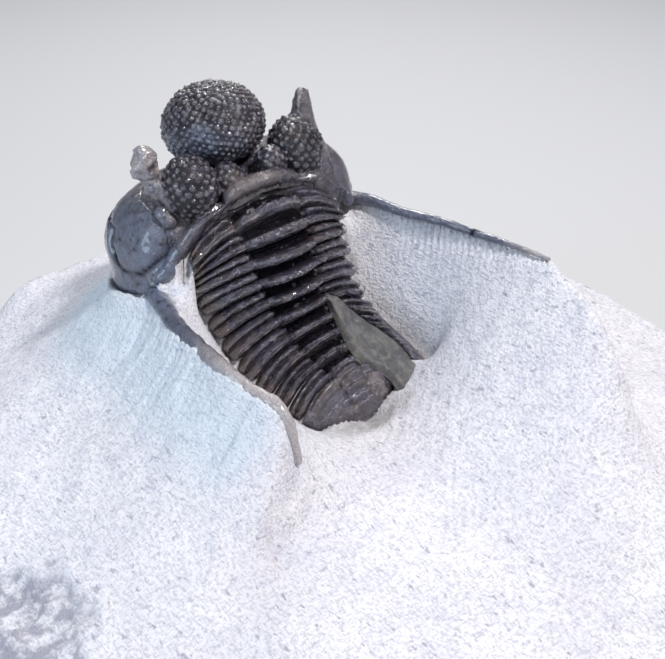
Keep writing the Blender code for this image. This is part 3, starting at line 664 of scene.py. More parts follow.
def head_point(u, v):
    """A point of the head shield's upper surface, with its border furrow and pitted field."""
    a, b = np.sin((u - 0.5) * math.pi), np.sin((v - 0.5) * math.pi)
    across, along = a * np.sqrt(1 - b * b / 2), b * np.sqrt(1 - a * a / 2)
    out = np.hypot(across, along)
    angle = np.arctan2(along, across)
    rim_x, rim_y = outline(angle)
    reach = np.hypot(rim_x, rim_y - HEAD_MIDDLE)
    inward = (1 - out) * reach
    x = rim_x * out
    y = HEAD_MIDDLE + (rim_y - HEAD_MIDDLE) * out
    steepness = 2.0 + 1.2 * np.abs(np.cos(angle))
    dome = clamp(1 - out**steepness) ** (1 / steepness)
    low = head_margin(x)
    height = low + HEAD_DEPTH + (CROWN - low - HEAD_DEPTH) * dome
    points = xyz(x, y, height)
    rise = height - low
    edge = cheek_edge(x, y, height)
    pits = np.minimum(noise(points, 0.36, 11, 2), 0.1) * 0.09 + 0.06 * noise(points, 1.3, 12)
    slope = xyz(x / reach, (y - HEAD_MIDDLE) / reach, 0.4 + 0 * x)
    furrow = -0.32 * bell(edge, 0.0, 0.2) + 0.12 * ease((0.1 - edge) / 0.3) * ease((rise - 0.3) / 0.4)
    return points + slope * ((pits * ease((rise - 1.2) / 0.5) + furrow) * ease(inward / 0.12))[:, None]


def shell_solid(columns):
    def flat(u, v):
        points = head_point(u, v)
        points[:, 2] = head_margin(points[:, 0]) - 1.0
        return place(points)

    return solid("shell", *slab(columns, columns, lambda u, v: place(head_point(u, v)), flat))


def seat():
    """Everything below the head's flat underside."""
    return prism("seat", [(-9, -3), (9, -3), (9, 11), (-9, 11)], lambda x: head_margin(x) - 9.0, MARGIN_LEVEL)


def border_roll():
    x, y = outline(np.radians(np.linspace(200.0, -20.0, 40)))
    roll = xyz(x * 0.945, HEAD_MIDDLE + (y - HEAD_MIDDLE) * 0.95, head_margin(x) + 0.36)
    return solid("roll", *tube(roll, [0.44], 300, 20, rough(0.1, 0.5, 21)))


def rear_border(side):
    """The raised rear border of the head, a double ridge with a groove along its crest."""

    def relief(points, ring, places):
        facing = ring @ np.array([0.0, -0.35, 0.94])
        groove = -0.22 * bell(facing, 1.0, 0.12) * ease(places / 0.15)
        return groove + 0.09 * noise_on(points, 0.5, 31)

    return solid("rear_border", *tube(mirrored(REAR_BORDER, side), [0.4, 0.46, 0.46], 90, 32, relief))


def neck_ring():
    """The occipital ring, smooth and finely wrinkled on its left part."""
    line = [(-2.1, 0.15, -0.5), (-1.3, 0.1, 0), (0, 0.1, 0.2), (1.3, 0.1, 0), (2.1, 0.15, -0.5)]

    def relief(points, ring, places):
        wrinkles = 0.05 * noise_on(points * (2.5, 1.0, 1.0), 0.25, 41)
        knobs = 0.13 * clamp(noise_on(points, 0.42, 42, 1)) * ease((places - 0.6) / 0.1)
        return wrinkles + knobs + 0.05 * np.sin(places * 9)

    return solid("neck_ring", *tube(line, [0.5, 0.7, 0.62, 0.5, 0.42], 130, 36, relief))


def eye_stalks():
    """The finger-like right stalk, the left one with its pale pitted bulb, and the rims below both."""
    right = [(4.25, 2.3, 0.2), (4.35, 2.25, 1.4), (4.45, 2.2, 2.5), (4.65, 2.15, 3.5)]
    left = [
        (-4.2, 2.3, -0.1), (-4.5, 2.25, 0.9), (-4.75, 2.2, 1.7), (-4.92, 2.2, 2.3), (-4.93, 2.2, 2.85),
        (-4.7, 2.25, 3.35),
    ]
    right_rim = [
        (4.78, 2.0, 3.4), (4.78, 2.0, 2.4), (4.86, 2.0, 1.5), (5.0, 1.9, 0.6), (5.1, 1.7, -0.1),
        (5.05, 1.5, -1.2),
    ]
    inner_rim = [(4.45, 2.0, 3.6), (4.2, 2.0, 2.7), (3.95, 2.0, 1.8)]
    left_rim = [(-4.75, 1.95, 1.6), (-4.6, 1.75, 0.9), (-4.35, 1.5, 0.2), (-4.1, 1.5, -0.5)]
    stub = [(-4.9, 1.9, 0.3), (-4.8, 1.6, -0.3), (-4.6, 1.3, -0.9)]

    def pit(points, ring, places):
        facing = ring @ np.array([0.1, -0.9, 0.4])
        return 0.26 * noise_on(points, 0.5, 56, 2) - 0.34 * bell(facing, 1.0, 0.2) * bell(places, 0.58, 0.09)

    def worn_tube(name, knots, radii, count, sides, relief, wear_and_highlight):
        points, groups = tube(knots, radii, count, sides, relief)
        return solid(name, points, groups, {"wear_and_highlight": np.full(len(points), wear_and_highlight)})

    return [
        worn_tube("right_stalk", right, [0.85, 0.72, 0.5, 0.28], 90, 24, rough(0.09, 0.5, 51), 0.12),
        worn_tube("left_stalk", left, [0.6, 0.44, 0.5, 0.72, 0.62, 0.24], 110, 32, pit, 0.62),
        worn_tube("right_rim", right_rim, [0.13, 0.15, 0.16, 0.16, 0.15], 90, 12, rough(0.05, 0.3, 53), 0.5),
        worn_tube("inner_rim", inner_rim, [0.16, 0.12, 0.1], 40, 12, rough(0.05, 0.3, 57), 0.6),
        worn_tube("left_rim", left_rim, [0.32, 0.32, 0.24], 60, 14, rough(0.08, 0.3, 54), 0.42),
        worn_tube("stub", stub, [0.36, 0.42, 0.34], 50, 16, rough(0.14, 0.4, 55), 0.12),
    ]


def cheek_edge(x, y, z):
    """How far a point of the left cheek lies inside the furrow round its flat field."""
    out = np.hypot((y - 2.75) / 1.6, (z + 1.15) / 1.78)
    return 1.7 * (1 - out) + 8.0 * (x > -4.9) + 8.0 * ease((z + 0.9) / 0.6)


def head_values(mesh):
    """Where the head is pale from wear or brown, where a bluish-grey sheen is painted on its left side and
    glabella, and where shade is painted in its furrows, in pits and under and between the granules, from the
    place of each point.
    """
    points = mesh_points(mesh)
    x, y, z = points.T
    cloud = noise(points, 0.9, 61)
    # A bluish sheen painted on the left cheek's side, broken up by noise.
    clouded = 0.8 - 0.5 * ease((noise(points, 0.35, 63, 2) - 0.1) / 0.3)
    blue_grey_and_sheen = ease((-4.7 - x) / 0.7) * ease((z + 4.6) / 0.6) * clouded
    wear_and_highlight, granule_gap_shade = stored(mesh, "wear_and_highlight"), stored(mesh, "painted_shade")
    pit = np.linalg.norm(points - BULB_PIT, axis=1)
    ring = ease((0.5 - y) / 0.3) * ease((z + 0.5) / 0.3) * ease((1.7 - np.abs(x + 0.6)) / 0.5) * (y > -0.9)
    spot = np.linalg.norm(points - BROWN_SPOT, axis=1)
    brown = np.maximum(0.9 * ease((0.4 - pit) / 0.15), 0.55 * ring)
    wear_and_highlight = wear_and_highlight * ease((pit - 0.25) / 0.15) * blend(0.5, 1.0, ease((z - 1.5) / 0.5))
    wear_and_highlight = np.maximum(wear_and_highlight, 0.12 * ring)
    brown = np.maximum(brown, 0.8 * ease((0.4 - spot) / 0.3))
    brown = np.maximum(brown, 0.35 * ease((cloud - 0.15) / 0.4))
    chips = 0.45 * ease((noise(points, 0.3, 62, 2) - 0.6) / 0.12)
    # Painted shade in the furrow round the left cheek's field and in pits on its far left side.
    painted_shade = 0.9 * bell(cheek_edge(x, y, z), 0.0, 0.16)
    painted_shade = np.maximum(painted_shade, 0.7 * ease((noise(points, 0.16, 64, 1) - 0.35) / 0.1) * (x < -4.8))
    # On the glabella: a bluish sheen painted where it faces down and to the left, painted shade between its
    # granules, and a painted shadow along its underside.
    dome = (points - GLABELLA_CENTRE) / GLABELLA_AXES
    out = np.linalg.norm(dome, axis=1)
    near = ease((1.1 - out) / 0.04)
    facing = (dome / out[:, None]) @ np.array(BLUE_SHEEN_SIDE)
    blue_grey_and_sheen = np.maximum(blue_grey_and_sheen, 0.75 * near * ease((facing - 0.5 + 0.3 * cloud) / 0.35))
    painted_shade = np.maximum(painted_shade, granule_gap_shade * (1 - 0.4 * blue_grey_and_sheen))
    painted_shade = np.maximum(painted_shade, near * ease((-0.62 - dome[:, 2]) / 0.15))
    return {"wear_and_highlight": np.maximum(wear_and_highlight, chips), "blue_grey_and_sheen": blue_grey_and_sheen, "brown": brown, "painted_shade": painted_shade}


def make_head(material):
    """The cranidium and the two free cheeks, parted along the facial sutures."""
    spines = [
        ("left", -1, LEFT_SPINE, [0.52, 0.44, 0.37, 0.34, 0.26], 0.08, -2.0, -6.5),
        ("right", 1, RIGHT_SPINE, [0.42, 0.28, 0.22, 0.17, 0.1], 0.035, -7.0, -11.0),
    ]
    for name, side, knots, radii, bumps, fade_from, fade_to in spines:
        suture = mirrored([(x + 0.03, y) for x, y in SUTURE] + [(-12, -1.0), (-12, 9.5)], side)
        rest = prism("all_but_cheek", suture, lambda x: -14.0, 6.5)
        spine = solid("spine", *tube(knots, radii, 300, 18, rough(bumps, 0.6, 71 + side)))
        steps = [
            ("UNION", [border_roll(), rear_border(side)]),
            ("DIFFERENCE", [rest, seat(), thorax_space()]),
            ("UNION", [spine]),
        ]
        mesh = combined(shell_solid(120), steps)
        values = head_values(mesh)
        # The spine is grey, and its end fades into the rock.
        points = mesh_points(mesh)
        y = points[:, 1] + 1.2 * noise(points, 0.5, 65)
        grey, faded = ease((1.8 - y) / 1.4), ease((fade_from - y) / (fade_from - fade_to))
        values["blue_grey_and_sheen"] = np.maximum(values["blue_grey_and_sheen"], 0.55 * grey)
        values["brown"] = np.maximum(values["brown"] * (1 - grey), 0.25 * faded)
        values["wear_and_highlight"] = np.maximum(values["wear_and_highlight"], 0.95 * faded)
        set_values(mesh, values)
        show(f"{name}_free_cheek_surface", mesh, f"{name}_free_cheek", material)

    beads = []
    for side in (-1, 1):
        dome, lobe = mirrored([DOME_CENTRE, BASAL_LOBE_CENTRE], side)
        beads.append(solid("dome", *tubercled(dome, DOME_AXES, *DOME_GRANULES, 81 + side)))
        beads.append(solid("lobe", *tubercled(lobe, [BASAL_LOBE_RADIUS] * 3, *LOBE_GRANULES, 84 + side)))
    beads.append(solid("glabella", *tubercled(GLABELLA_CENTRE, GLABELLA_AXES, *GLABELLA_GRANULES, 87)))
    rear_borders = [rear_border(side) for side in (-1, 1)]
    suture = SUTURE + [(12, -1.0), (12, 9.5)]
    rooms = [prism("cheek_room", mirrored(suture, side), lambda x: -14.0, 6.0) for side in (-1, 1)]
    steps = [
        ("UNION", [border_roll(), *rear_borders, neck_ring()]),
        ("DIFFERENCE", rooms + [seat(), thorax_space()]),
        ("UNION", beads + eye_stalks()),
    ]
    mesh = combined(shell_solid(90), steps)
    set_values(mesh, head_values(mesh))
    show("cranidium_surface", mesh, "cranidium", material)


def fill_edge(t):
    """The outer edge of the fill, a wedge that widens towards the tail."""
    share = clamp((t - FILL_FROM) / FILL_WIDENING)
    return blend(FILL_INNER + FILL_START_WIDTH, FILL_OUTER, share**0.8)


def filled(t, q):
    """1 where grey fill takes the place of missing pleurae."""
    return ease((q - FILL_INNER) / 0.02) * ease((fill_edge(t) - q) / 0.03) * ease((t - FILL_FROM) / 0.12)


def on_ring(out):
    """1 on a segment's ring over the axis and 0 on its pleurae."""
    return 1 - ease((out - 0.37) / 0.09)


def joined_tips(t, q):
    """1 on the rim at the rear on the right, where the tips lie against one another."""
    return ease((q - 0.84) / 0.05) * ease(t - 6.0)


def segment_lift(number, v, q):
    """Height of one segment's surface: a ring over the axis and a furrowed band on each side."""
    out = np.abs(q)
    ring = blend(-0.56, 0.0, ease((v - 0.42) / 0.16)) + 0.16 * bell(v, 0.74, 0.13)
    ring -= 0.22 * ease((v - 0.88) / 0.12)
    ring += 0.1 * bell(v, 0.1, 0.08)
    bands = -0.3 * (1 - ease(v / 0.16)) + 0.07 * bell(v, 0.24, 0.09) - 0.28 * bell(v, 0.45, 0.08)
    bands += 0.18 * bell(v, 0.72, 0.12) - 0.3 * ease((v - 0.87) / 0.13)
    lift = blend(bands, ring, on_ring(out))
    lift += 0.22 * bell(out, 0.35, 0.05) * bell(v, 0.62, 0.2)
    lift -= 0.17 * bell(out, 0.435, 0.022)
    swollen_tip = 0.1 * bell(out, 0.94, 0.05) * bell(v, 0.5, 0.4)
    lift += 0.07 * bell(out, 0.7, 0.05) * bell(v, 0.62, 0.28) + swollen_tip
    random = np.random.default_rng(100 + number)
    knob_places = random.uniform(-0.95, 0.95, SEGMENT_KNOBS)
    knob_heights = random.uniform(0.03, 0.09, SEGMENT_KNOBS)
    for where, height in zip(knob_places, knob_heights):
        along = random.choice([0.62, 0.74, 0.84])
        lift += height * bell(q, where, 0.016) * bell(v, along, 0.07)
    return lift


def make_segment(number, material):
    """One thoracic segment, with round pleural tips."""
    first = number - 1

    def surface(u, v):
        q = 2 * u - 1
        tip = clamp((np.abs(q) - 0.9) / 0.1)
        narrow = 1 - blend(0.55, 0.1, (q > 0) * ease((first - 4) / 2)) * (1 - np.sqrt(1 - tip**2))
        t = first + 0.5 + (v - 0.5) * 0.965 * narrow
        return t, q

    def top(u, v):
        t, q = surface(u, v)
        lift = segment_lift(number, v, q)
        points = back_point(t, q, lift)
        lift += 0.1 * noise(points, 0.24, 200 + number, 2) + 0.07 * noise(points, 0.8, 220)
        rolled = 0.1 - 0.3 * ease((q - 0.93) / 0.07) + 0.06 * noise(points, 0.35, 225)
        lift = blend(lift, rolled, joined_tips(t, q))
        lift = blend(lift, -FILL_DEPTH - 0.03, filled(t, q))
        return place(back_point(t, q, lift, 0.03 * noise(points, 1.1, 230 + number)))

    def bottom(u, v):
        t, q = surface(u, v)
        return place(back_point(t, q, -shell_depth(q)))

    points, groups = slab(*SEGMENT_GRID, top, bottom)
    u, v = unit_grid(*SEGMENT_GRID)
    q = 2 * u - 1
    cloud = noise(xyz(q * 4, v + number, 0 * q), 0.5, 240)
    # A pale line along each segment's rear ridge: a painted highlight, broken up by noise.
    wear_and_highlight = 0.75 * bell(v, 0.86, 0.03) * ease(0.35 + cloud)
    brown = np.maximum(0.75 * ease((np.abs(q) - 0.84) / 0.1) * (q < 0), 0.5 * ease((cloud - 0.1) / 0.5))
    # Painted shade in the pleural furrow, at the joints between segments, and over the front of each axial
    # ring.
    grooves = 0.6 * bell(v, 0.45, 0.06) + 0.7 * bell(v, 0.0, 0.08) + 0.5 * bell(v, 1.0, 0.05)
    painted_shade = blend(grooves, ease((0.56 - v) / 0.12), on_ring(np.abs(q)))
    painted_shade = clamp(painted_shade) * (1 - 0.8 * joined_tips(first + v, q))
    values = {"wear_and_highlight": wear_and_highlight, "brown": brown, "painted_shade": painted_shade}
    name = f"thorax_segment_{number:02d}"
    show(name + "_surface", make_mesh(name, points, groups, values), name, material)


def make_tail(material):
    """The tail shield: a short ringed axis, ribs on each side and a smooth rim."""

    def lift_at(v, q):
        out = np.abs(q)
        on_axis = (1 - ease((out - 0.34) / 0.1)) * (1 - ease((v - 0.62) / 0.2))
        rings = 0.1 * np.cos(v * 5 * 2 * math.pi)
        ribs = 0.07 * np.cos((v * 4.2 - 0.8 * out) * 2 * math.pi)
        ribs = ribs * (1 - ease((v - 0.55) / 0.3)) * (1 - ease((out - 0.8) / 0.12))
        lift = blend(ribs, rings, on_axis) - 0.12 * bell(out, 0.43, 0.03) * (1 - ease((v - 0.6) / 0.2))
        return lift - 0.06 + 0.1 * bell(v, 0.97, 0.05)

    def top(u, v):
        q, v = 2 * u - 1, 0.02 + 0.98 * v
        lift = lift_at(v, q)
        points = tail_point(v, q, lift)
        lift += 0.04 * noise(points, 0.28, 301) + 0.05 * clamp(noise(points, 0.5, 302, 1))
        return place(tail_point(v, q, lift))

    def bottom(u, v):
        return place(tail_point(0.02 + 0.98 * v, 2 * u - 1, np.full_like(v, -TIP_SHELL)))

    points, groups = slab(*TAIL_GRID, top, bottom)
    cloud = noise((points - NECK) @ POSE, 0.6, 310)
    values = {"wear_and_highlight": 0.3 * ease((cloud - 0.35) / 0.3), "brown": 0.5 * ease((cloud + 0.2) / 0.5)}
    show("pygidium_surface", make_mesh("pygidium", points, groups, values), "pygidium", material)


def make_fill(material):
    """The smooth grey plate over the missing right pleurae."""

    def surface(u, v, lift):
        t = blend(FILL_FROM + 0.07, blend(FILL_END, FILL_END - 1.3, u), v)
        inner = FILL_INNER + 0.015 + 0.17 * ease((t - 9.6) / 2.0)
        outer = fill_edge(t) - 0.005 + 0.03 * ease(t - 9.8)
        # Past the last segment it comes down over the tail's right shoulder.
        sag = 0.12 * np.maximum(t - SEGMENTS, 0) + 0.14 * np.maximum(t - 10.8, 0) ** 2
        return back_point(t, blend(inner, outer, u), lift - sag)

    def top(u, v):
        edge = np.minimum(np.minimum(u, 1 - u) * 2.6, np.minimum(v, 1 - v) * 6.0)
        crown = blend(-0.2, 0.1, ease(edge / 0.4) ** 0.7)
        points = surface(u, v, crown)
        crown += 0.13 * noise(points, 1.1, 401) + 0.05 * noise(points, 0.35, 402)
        crown -= 0.12 * bell(u, 0.3, 0.06) * bell(v, 0.5, 0.2)
        return place(surface(u, v, crown))

    def bottom(u, v):
        return place(surface(u, v, np.full_like(u, -FILL_DEPTH)))

    points, groups = slab(*FILL_GRID, top, bottom)
    show("infill_surface", make_mesh("grey_infill", points, groups), "grey_infill", material)


def rock_sides(top, rim):
    """The rock's points, with rows down its broken sides, and its faces."""
    points, groups = [top], [grid_quads(ROCK_COLUMNS, ROCK_COLUMNS)]
    top_x, top_y, top_z = top[rim].T
    above = rim
    for k in range(1, ROCK_SIDE_ROWS + 1):
        share = 1 - k / ROCK_SIDE_ROWS
        level = share * top_z
        upright = xyz(top_x, top_y, level)
        chips = 0.6 + 0.5 * noise(upright, 6.0, 521, 2) + 0.3 * noise(upright, 1.6, 522)
        inward = np.clip(chips, 0.05, 1.6) * ease(k / 3) * (0.35 if k == ROCK_SIDE_ROWS else 1.0)
        size = 1 - inward / np.hypot(top_x, top_y)
        points.append(xyz(top_x * size, top_y * size, level))
        below = len(top) + (k - 1) * len(rim) + np.arange(len(rim))
        groups.append(np.stack([above, below, np.roll(below, -1), np.roll(above, -1)], axis=1))
        above = below
    groups.append(above[None, ::-1])
    return np.vstack(points), groups


def make_rock(material):
    """The limestone: a finely tooled surface, broken sides and a sawn flat base."""
    count = ROCK_COLUMNS
    spread = np.linspace(-1, 1, count)
    spread = GRID_EVEN * spread + GRID_CROWDED * spread**3
    x, y = grid_places(spread, ROCK_HALF_DEPTH * spread)
    x = x * rock_edge(y)
    height, to_crest, along, to_bed, low, within = rock_height(x, y)
    calm = np.where(within, ease((to_crest - 0.5) / 1.5), ease((to_crest - 3.0) / 2.0))
    calm = np.maximum(calm, ease((-11.5 - y) / 3.0))
    height = smoothed(height, calm * ease((to_bed - 0.3) / 1.5), count, SMOOTHING_ROUNDS)
    # A low lip along the left wall's top beside the animal, and a steeper fall outside the right wall
    beside = ease((y + 6.5) / 2.0)
    height += 0.16 * bell(to_crest, 0.45, 0.3) * ease((to_bed - 0.3) / 0.4) * beside * (x < 0)
    height -= 0.6 * bell(to_crest, 0.65, 0.5) * ease((x - 3.0) / 2.0) * ~within
    flat = xyz(x, y, 0 * x)
    wild = ease((to_bed - 0.4) / 2.0)
    clear = ease((to_crest - 0.2) / 0.8)
    # The rough patch of natural rock at the left of the foreground
    patch = ease((1.1 - np.hypot((x + 20.2) / 3.2, (y + 4.2) / 4.2) + 0.3 * noise(flat, 1.2, 501)) / 0.16)
    relief = 0.35 * noise(flat, 7.0, 502, 2) * ease(to_crest / 5.0) * ease(to_bed / 5.0)
    relief += 0.15 * noise(flat, 2.2, 503) * clear * wild + 0.07 * noise(flat, 0.6, 504) * wild
    # Short tool strokes in two directions
    turned = xyz(0.8 * x + 0.6 * y, -0.6 * x + 0.8 * y, 0 * x)
    strokes = noise(turned * (1.0, 0.28, 1.0), 0.34, 505, 2)
    other = noise(turned * (0.3, 1.0, 1.0), 0.36, 506, 2)
    relief += 0.05 * np.where(noise(flat, 2.5, 507) > 0, strokes, other) * ease(to_bed / 0.5)
    streaks = noise(xyz(along, 0.15 * height, 0 * x), 0.55, 508)
    relief += 0.22 * streaks * bell(to_crest, 1.3, 1.2) * ~within * beside
    relief += patch * (0.3 * noise(flat, 0.7, 509) - 0.35)
    height = height + relief
    under_animal = within & (to_bed < 0.16)
    height = np.where(under_animal, np.minimum(height, low - 0.1), height)
    past_side = ease((np.abs(x) / rock_edge(y) - 0.985) / 0.015)
    past_end = ease((np.abs(y) / ROCK_HALF_DEPTH - 0.985) / 0.015)
    height -= 0.5 * clamp(past_side + past_end)

    rim = grid_rim(np.arange(count * count).reshape(count, count))
    points, groups = rock_sides(xyz(x, y, height), rim)
    # Darker rock in an oval patch and in a band right next to the animal.
    pad = ease(1.3 - np.hypot((x - 0.1) / 2.6, (y + 2.7) / 0.9)) * (to_bed > 0.05)
    darker_rock = np.maximum(0.75 * pad, 0.55 * ease((0.7 - to_bed) / 0.5))
    # A bluish light painted on the outer face of the left wall, beside the animal.
    painted_cyan_light = bell(to_crest, 1.6, 1.8) * ~within * (x < 0) * beside
    grey = np.concatenate([patch, np.full(len(points) - len(x), 0.35)])
    values = {"grey": grey, "darker_rock": darker_rock, "painted_cyan_light": painted_cyan_light}
    show("limestone_surface", make_mesh("matrix", points, groups, values), "matrix", material)


def new_material(name):
    material = bpy.data.materials.new(name)
    material.use_nodes = True
    tree = material.node_tree
    return material, tree, tree.nodes["Principled BSDF"]


def add_node(tree, kind, inputs, **settings):
    """A new node with its inputs linked or set."""
    node = tree.nodes.new("ShaderNode" + kind)
    for key, value in settings.items():
        setattr(node, key, value)
    for key, value in inputs.items():
        if isinstance(value, bpy.types.NodeSocket):
            tree.links.new(value, node.inputs[key])
        else:
            node.inputs[key].default_value = value
    return node


def noise_node(tree, size, detail=4.0, stretch=(1.0, 1.0, 1.0), turned=0.0):
    """Noise whose features are about size millimetres across."""
    coords = add_node(tree, "TexCoord", {}).outputs["Object"]
    settings = {"Vector": coords, "Scale": stretch, "Rotation": (0.0, 0.0, turned)}
    coords = add_node(tree, "Mapping", settings).outputs["Vector"]
    inputs = {"Vector": coords, "Scale": 1.0 / (size * MM), "Detail": detail, "Roughness": 0.6}
    return add_node(tree, "TexNoise", inputs).outputs["Fac"]


def ranged(tree, value, low, high, to_low=0.0, to_high=1.0):
    inputs = {"Value": value, "From Min": low, "From Max": high, "To Min": to_low, "To Max": to_high}
    return add_node(tree, "MapRange", inputs).outputs["Result"]


def layered(tree, base, layers):
    """Colours laid one over another: pairs of a factor and a colour."""
    colour = (*base, 1.0)
    for factor, over in layers:
        inputs = {MIX_FACTOR: factor, MIX_UNDER: colour, MIX_OVER: (*over, 1.0)}
        colour = add_node(tree, "Mix", inputs, data_type="RGBA").outputs[MIX_RESULT]
    return colour


def product(tree, a, b):
    return add_node(tree, "Math", {0: a, 1: b}, operation="MULTIPLY").outputs["Value"]


def attribute(tree, name):
    return add_node(tree, "Attribute", {}, attribute_name=name).outputs["Fac"]


def marked(tree, name, share):
    """An attribute of the mesh, times a share."""
    return product(tree, attribute(tree, name), share)


def finish_shader(tree, shader, colour, roughness, heights):
    """Links the colour, the roughness and bumps: pairs of a height and its depth in millimetres."""
    tree.links.new(colour, shader.inputs["Base Color"])
    tree.links.new(roughness, shader.inputs["Roughness"])
    normal = None
    for height, depth in heights:
        inputs = {"Height": height, "Distance": depth * MM, "Strength": 1.0}
        if normal:
            inputs["Normal"] = normal
        normal = add_node(tree, "Bump", inputs).outputs["Normal"]
    tree.links.new(normal, shader.inputs["Normal"])


def cuticle_material():
    """Dark violet-brown fossil shell, glossy, pale from wear in places, with a painted highlight along each
    segment's rear ridge, painted shade in its grooves and between its granules, and a bluish sheen painted on
    its left side.
    """
    material, tree, shader = new_material("cuticle")
    broad, middle, fine = noise_node(tree, 2.2), noise_node(tree, 0.5), noise_node(tree, 0.09, 3.0)
    colour = layered(tree, (0.02, 0.016, 0.028), [
        (ranged(tree, broad, 0.35, 0.65), (0.07, 0.06, 0.09)),
        (ranged(tree, middle, 0.5, 0.72), (0.115, 0.1, 0.14)),
        (marked(tree, "brown", 0.85), (0.085, 0.055, 0.042)),
        # Bluish grey: the spine's own tone, and a sheen painted on the left cheek and the glabella.
        (marked(tree, "blue_grey_and_sheen", 0.9), (0.1, 0.125, 0.2)),
        # Granule tops a little paler: a faint painted highlight.
        (marked(tree, "bead", 0.08), (0.2, 0.18, 0.17)),
        # Near black: painted shade in grooves, furrows, pits and between granules.
        (marked(tree, "painted_shade", 0.95), (0.003, 0.002, 0.004)),
        # Pale: real wear, and painted highlights along the segments' rear ridges.
        (marked(tree, "wear_and_highlight", ranged(tree, fine, 0.3, 0.6, 0.55, 1.0)), (0.46, 0.41, 0.41)),
    ])
    # Gloss and coat are turned down where shade is painted.
    gloss_outside_shade = ranged(tree, attribute(tree, "painted_shade"), 0.2, 0.8, 1.0, 0.05)
    tree.links.new(gloss_outside_shade, shader.inputs["Specular IOR Level"])
    tree.links.new(product(tree, gloss_outside_shade, 0.8), shader.inputs["Coat Weight"])
    shader.inputs["Coat Roughness"].default_value = 0.08
    roughness = ranged(tree, middle, 0.3, 0.7, 0.12, 0.3)
    finish_shader(tree, shader, colour, roughness, [(middle, 0.16), (fine, 0.07)])
    return material


def limestone_material():
    """Near-white limestone with fine grey specks and short tool strokes, darker next to the animal, and with
    a bluish light painted on the left wall's outer face.
    """
    material, tree, shader = new_material("limestone")
    broad, middle = noise_node(tree, 5.0), noise_node(tree, 0.9)
    fine = noise_node(tree, 0.13, 3.0)
    strokes = noise_node(tree, 0.11, 2.0, (1.0, 0.3, 0.8), 0.5)
    crossing = noise_node(tree, 0.11, 2.0, (0.35, 1.0, 0.7), -0.4)
    sparse = noise_node(tree, 0.3, 2.0, (1.0, 0.45, 0.8), 0.9)
    mottle = ranged(tree, middle, 0.35, 0.6, 0.45, 1.0)
    patchy = ranged(tree, middle, 0.42, 0.56, 0.15, 0.9)
    colour = layered(tree, (0.8, 0.785, 0.82), [
        (ranged(tree, broad, 0.35, 0.65), (0.72, 0.705, 0.76)),
        (ranged(tree, middle, 0.52, 0.72, 0, 0.55), (0.58, 0.57, 0.67)),
        (ranged(tree, strokes, 0.5, 0.62, 0, 0.42), (0.34, 0.34, 0.42)),
        (ranged(tree, crossing, 0.52, 0.64, 0, 0.42), (0.36, 0.35, 0.43)),
        (ranged(tree, sparse, 0.64, 0.7, 0, 0.6), (0.25, 0.25, 0.32)),
        # A bluish light painted on the left wall's outer face.
        (marked(tree, "painted_cyan_light", 0.45), (0.5, 0.64, 0.74)),
        (marked(tree, "grey", patchy), (0.3, 0.3, 0.36)),
        # Darker next to the animal and in an oval patch.
        (marked(tree, "darker_rock", mottle), (0.3, 0.28, 0.27)),
    ])
    shader.inputs["Specular IOR Level"].default_value = 0.3
    heights = [(middle, 0.09), (strokes, 0.06), (crossing, 0.06), (fine, 0.05)]
    finish_shader(tree, shader, colour, ranged(tree, fine, 0.3, 0.7, 0.8, 0.98), heights)
    return material


def fill_material():
    """Smooth olive-grey fill, matte and mottled."""
    material, tree, shader = new_material("grey_fill")
    broad, middle, fine = noise_node(tree, 1.6), noise_node(tree, 0.4), noise_node(tree, 0.1, 2.0)
    colour = layered(tree, (0.075, 0.072, 0.082), [
        (ranged(tree, broad, 0.4, 0.6), (0.13, 0.125, 0.125)),
        (ranged(tree, middle, 0.5, 0.66, 0, 0.8), (0.18, 0.175, 0.155)),
        (ranged(tree, fine, 0.52, 0.66, 0, 0.6), (0.04, 0.04, 0.042)),
    ])
    roughness = ranged(tree, middle, 0.3, 0.7, 0.5, 0.72)
    finish_shader(tree, shader, colour, roughness, [(middle, 0.03), (fine, 0.015)])
    return material


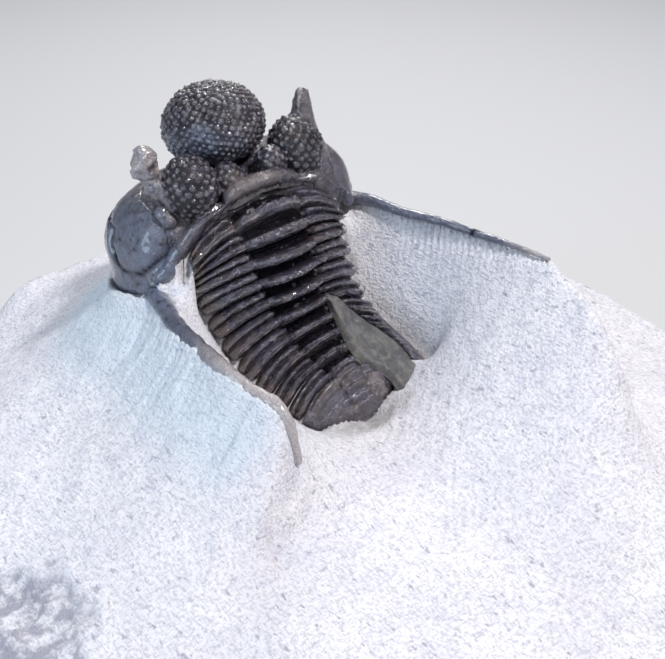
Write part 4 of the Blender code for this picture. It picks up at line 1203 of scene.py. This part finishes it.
def stand(item, place_mm, side, away):
    """Sets a lamp or the camera at a place, its right along side and its back along away."""
    rows = np.column_stack([side, np.cross(away, side), away])
    item.matrix_world = Matrix([[*row, p * MM] for row, p in zip(rows, place_mm)] + [[0, 0, 0, 1]])


def add_light(name, place_mm, size_mm, watts, colour):
    """A soft square lamp that looks at the target."""
    light = bpy.data.lights.new(name, "AREA")
    light.size = size_mm * MM
    light.energy = watts
    light.color = colour
    away = (np.array(place_mm) - LAMP_TARGET) * MM
    side = np.cross((0.0, 0.0, 1.0), away)
    side /= np.linalg.norm(side)
    away /= np.linalg.norm(away)
    stand(linked(name, light), place_mm, side, away)


def make_studio():
    """A plain pale floor, soft lamps, and the camera."""
    floor_mesh = bpy.data.meshes.new("floor")
    floor_mesh.from_pydata(FLOOR_CORNERS, [], [(0, 1, 2, 3)])
    material, _, shader = new_material("floor")
    shader.inputs["Base Color"].default_value = FLOOR_COLOUR
    shader.inputs["Roughness"].default_value = FLOOR_ROUGHNESS
    floor_mesh.materials.append(material)
    floor = linked("floor", floor_mesh)

    world = bpy.data.worlds.new("studio")
    world.use_nodes = True
    background = world.node_tree.nodes["Background"]
    background.inputs["Color"].default_value = WORLD_COLOUR
    background.inputs["Strength"].default_value = WORLD_STRENGTH
    bpy.context.scene.world = world
    for lamp in LAMPS:
        add_light(*lamp)
    bpy.context.scene.view_settings.view_transform = "Standard"

    camera = bpy.data.cameras.new("camera")
    camera.sensor_fit = "HORIZONTAL"
    camera.angle = math.radians(CAMERA_ANGLE)
    camera.clip_start = 0.001
    holder = linked("camera", camera)
    azimuth, elevation = math.radians(CAMERA_AZIMUTH), math.radians(CAMERA_ELEVATION)
    level = math.cos(elevation)
    away = np.array([math.sin(azimuth) * level, -math.cos(azimuth) * level, math.sin(elevation)])
    side = np.array([math.cos(azimuth), math.sin(azimuth), 0.0])
    stand(holder, CAMERA_PLACE, side, away)
    bpy.context.scene.camera = holder


cuticle = cuticle_material()
make_rock(limestone_material())
make_head(cuticle)
for segment in range(1, SEGMENTS + 1):
    make_segment(segment, cuticle)
make_tail(cuticle)
make_fill(fill_material())
make_studio()
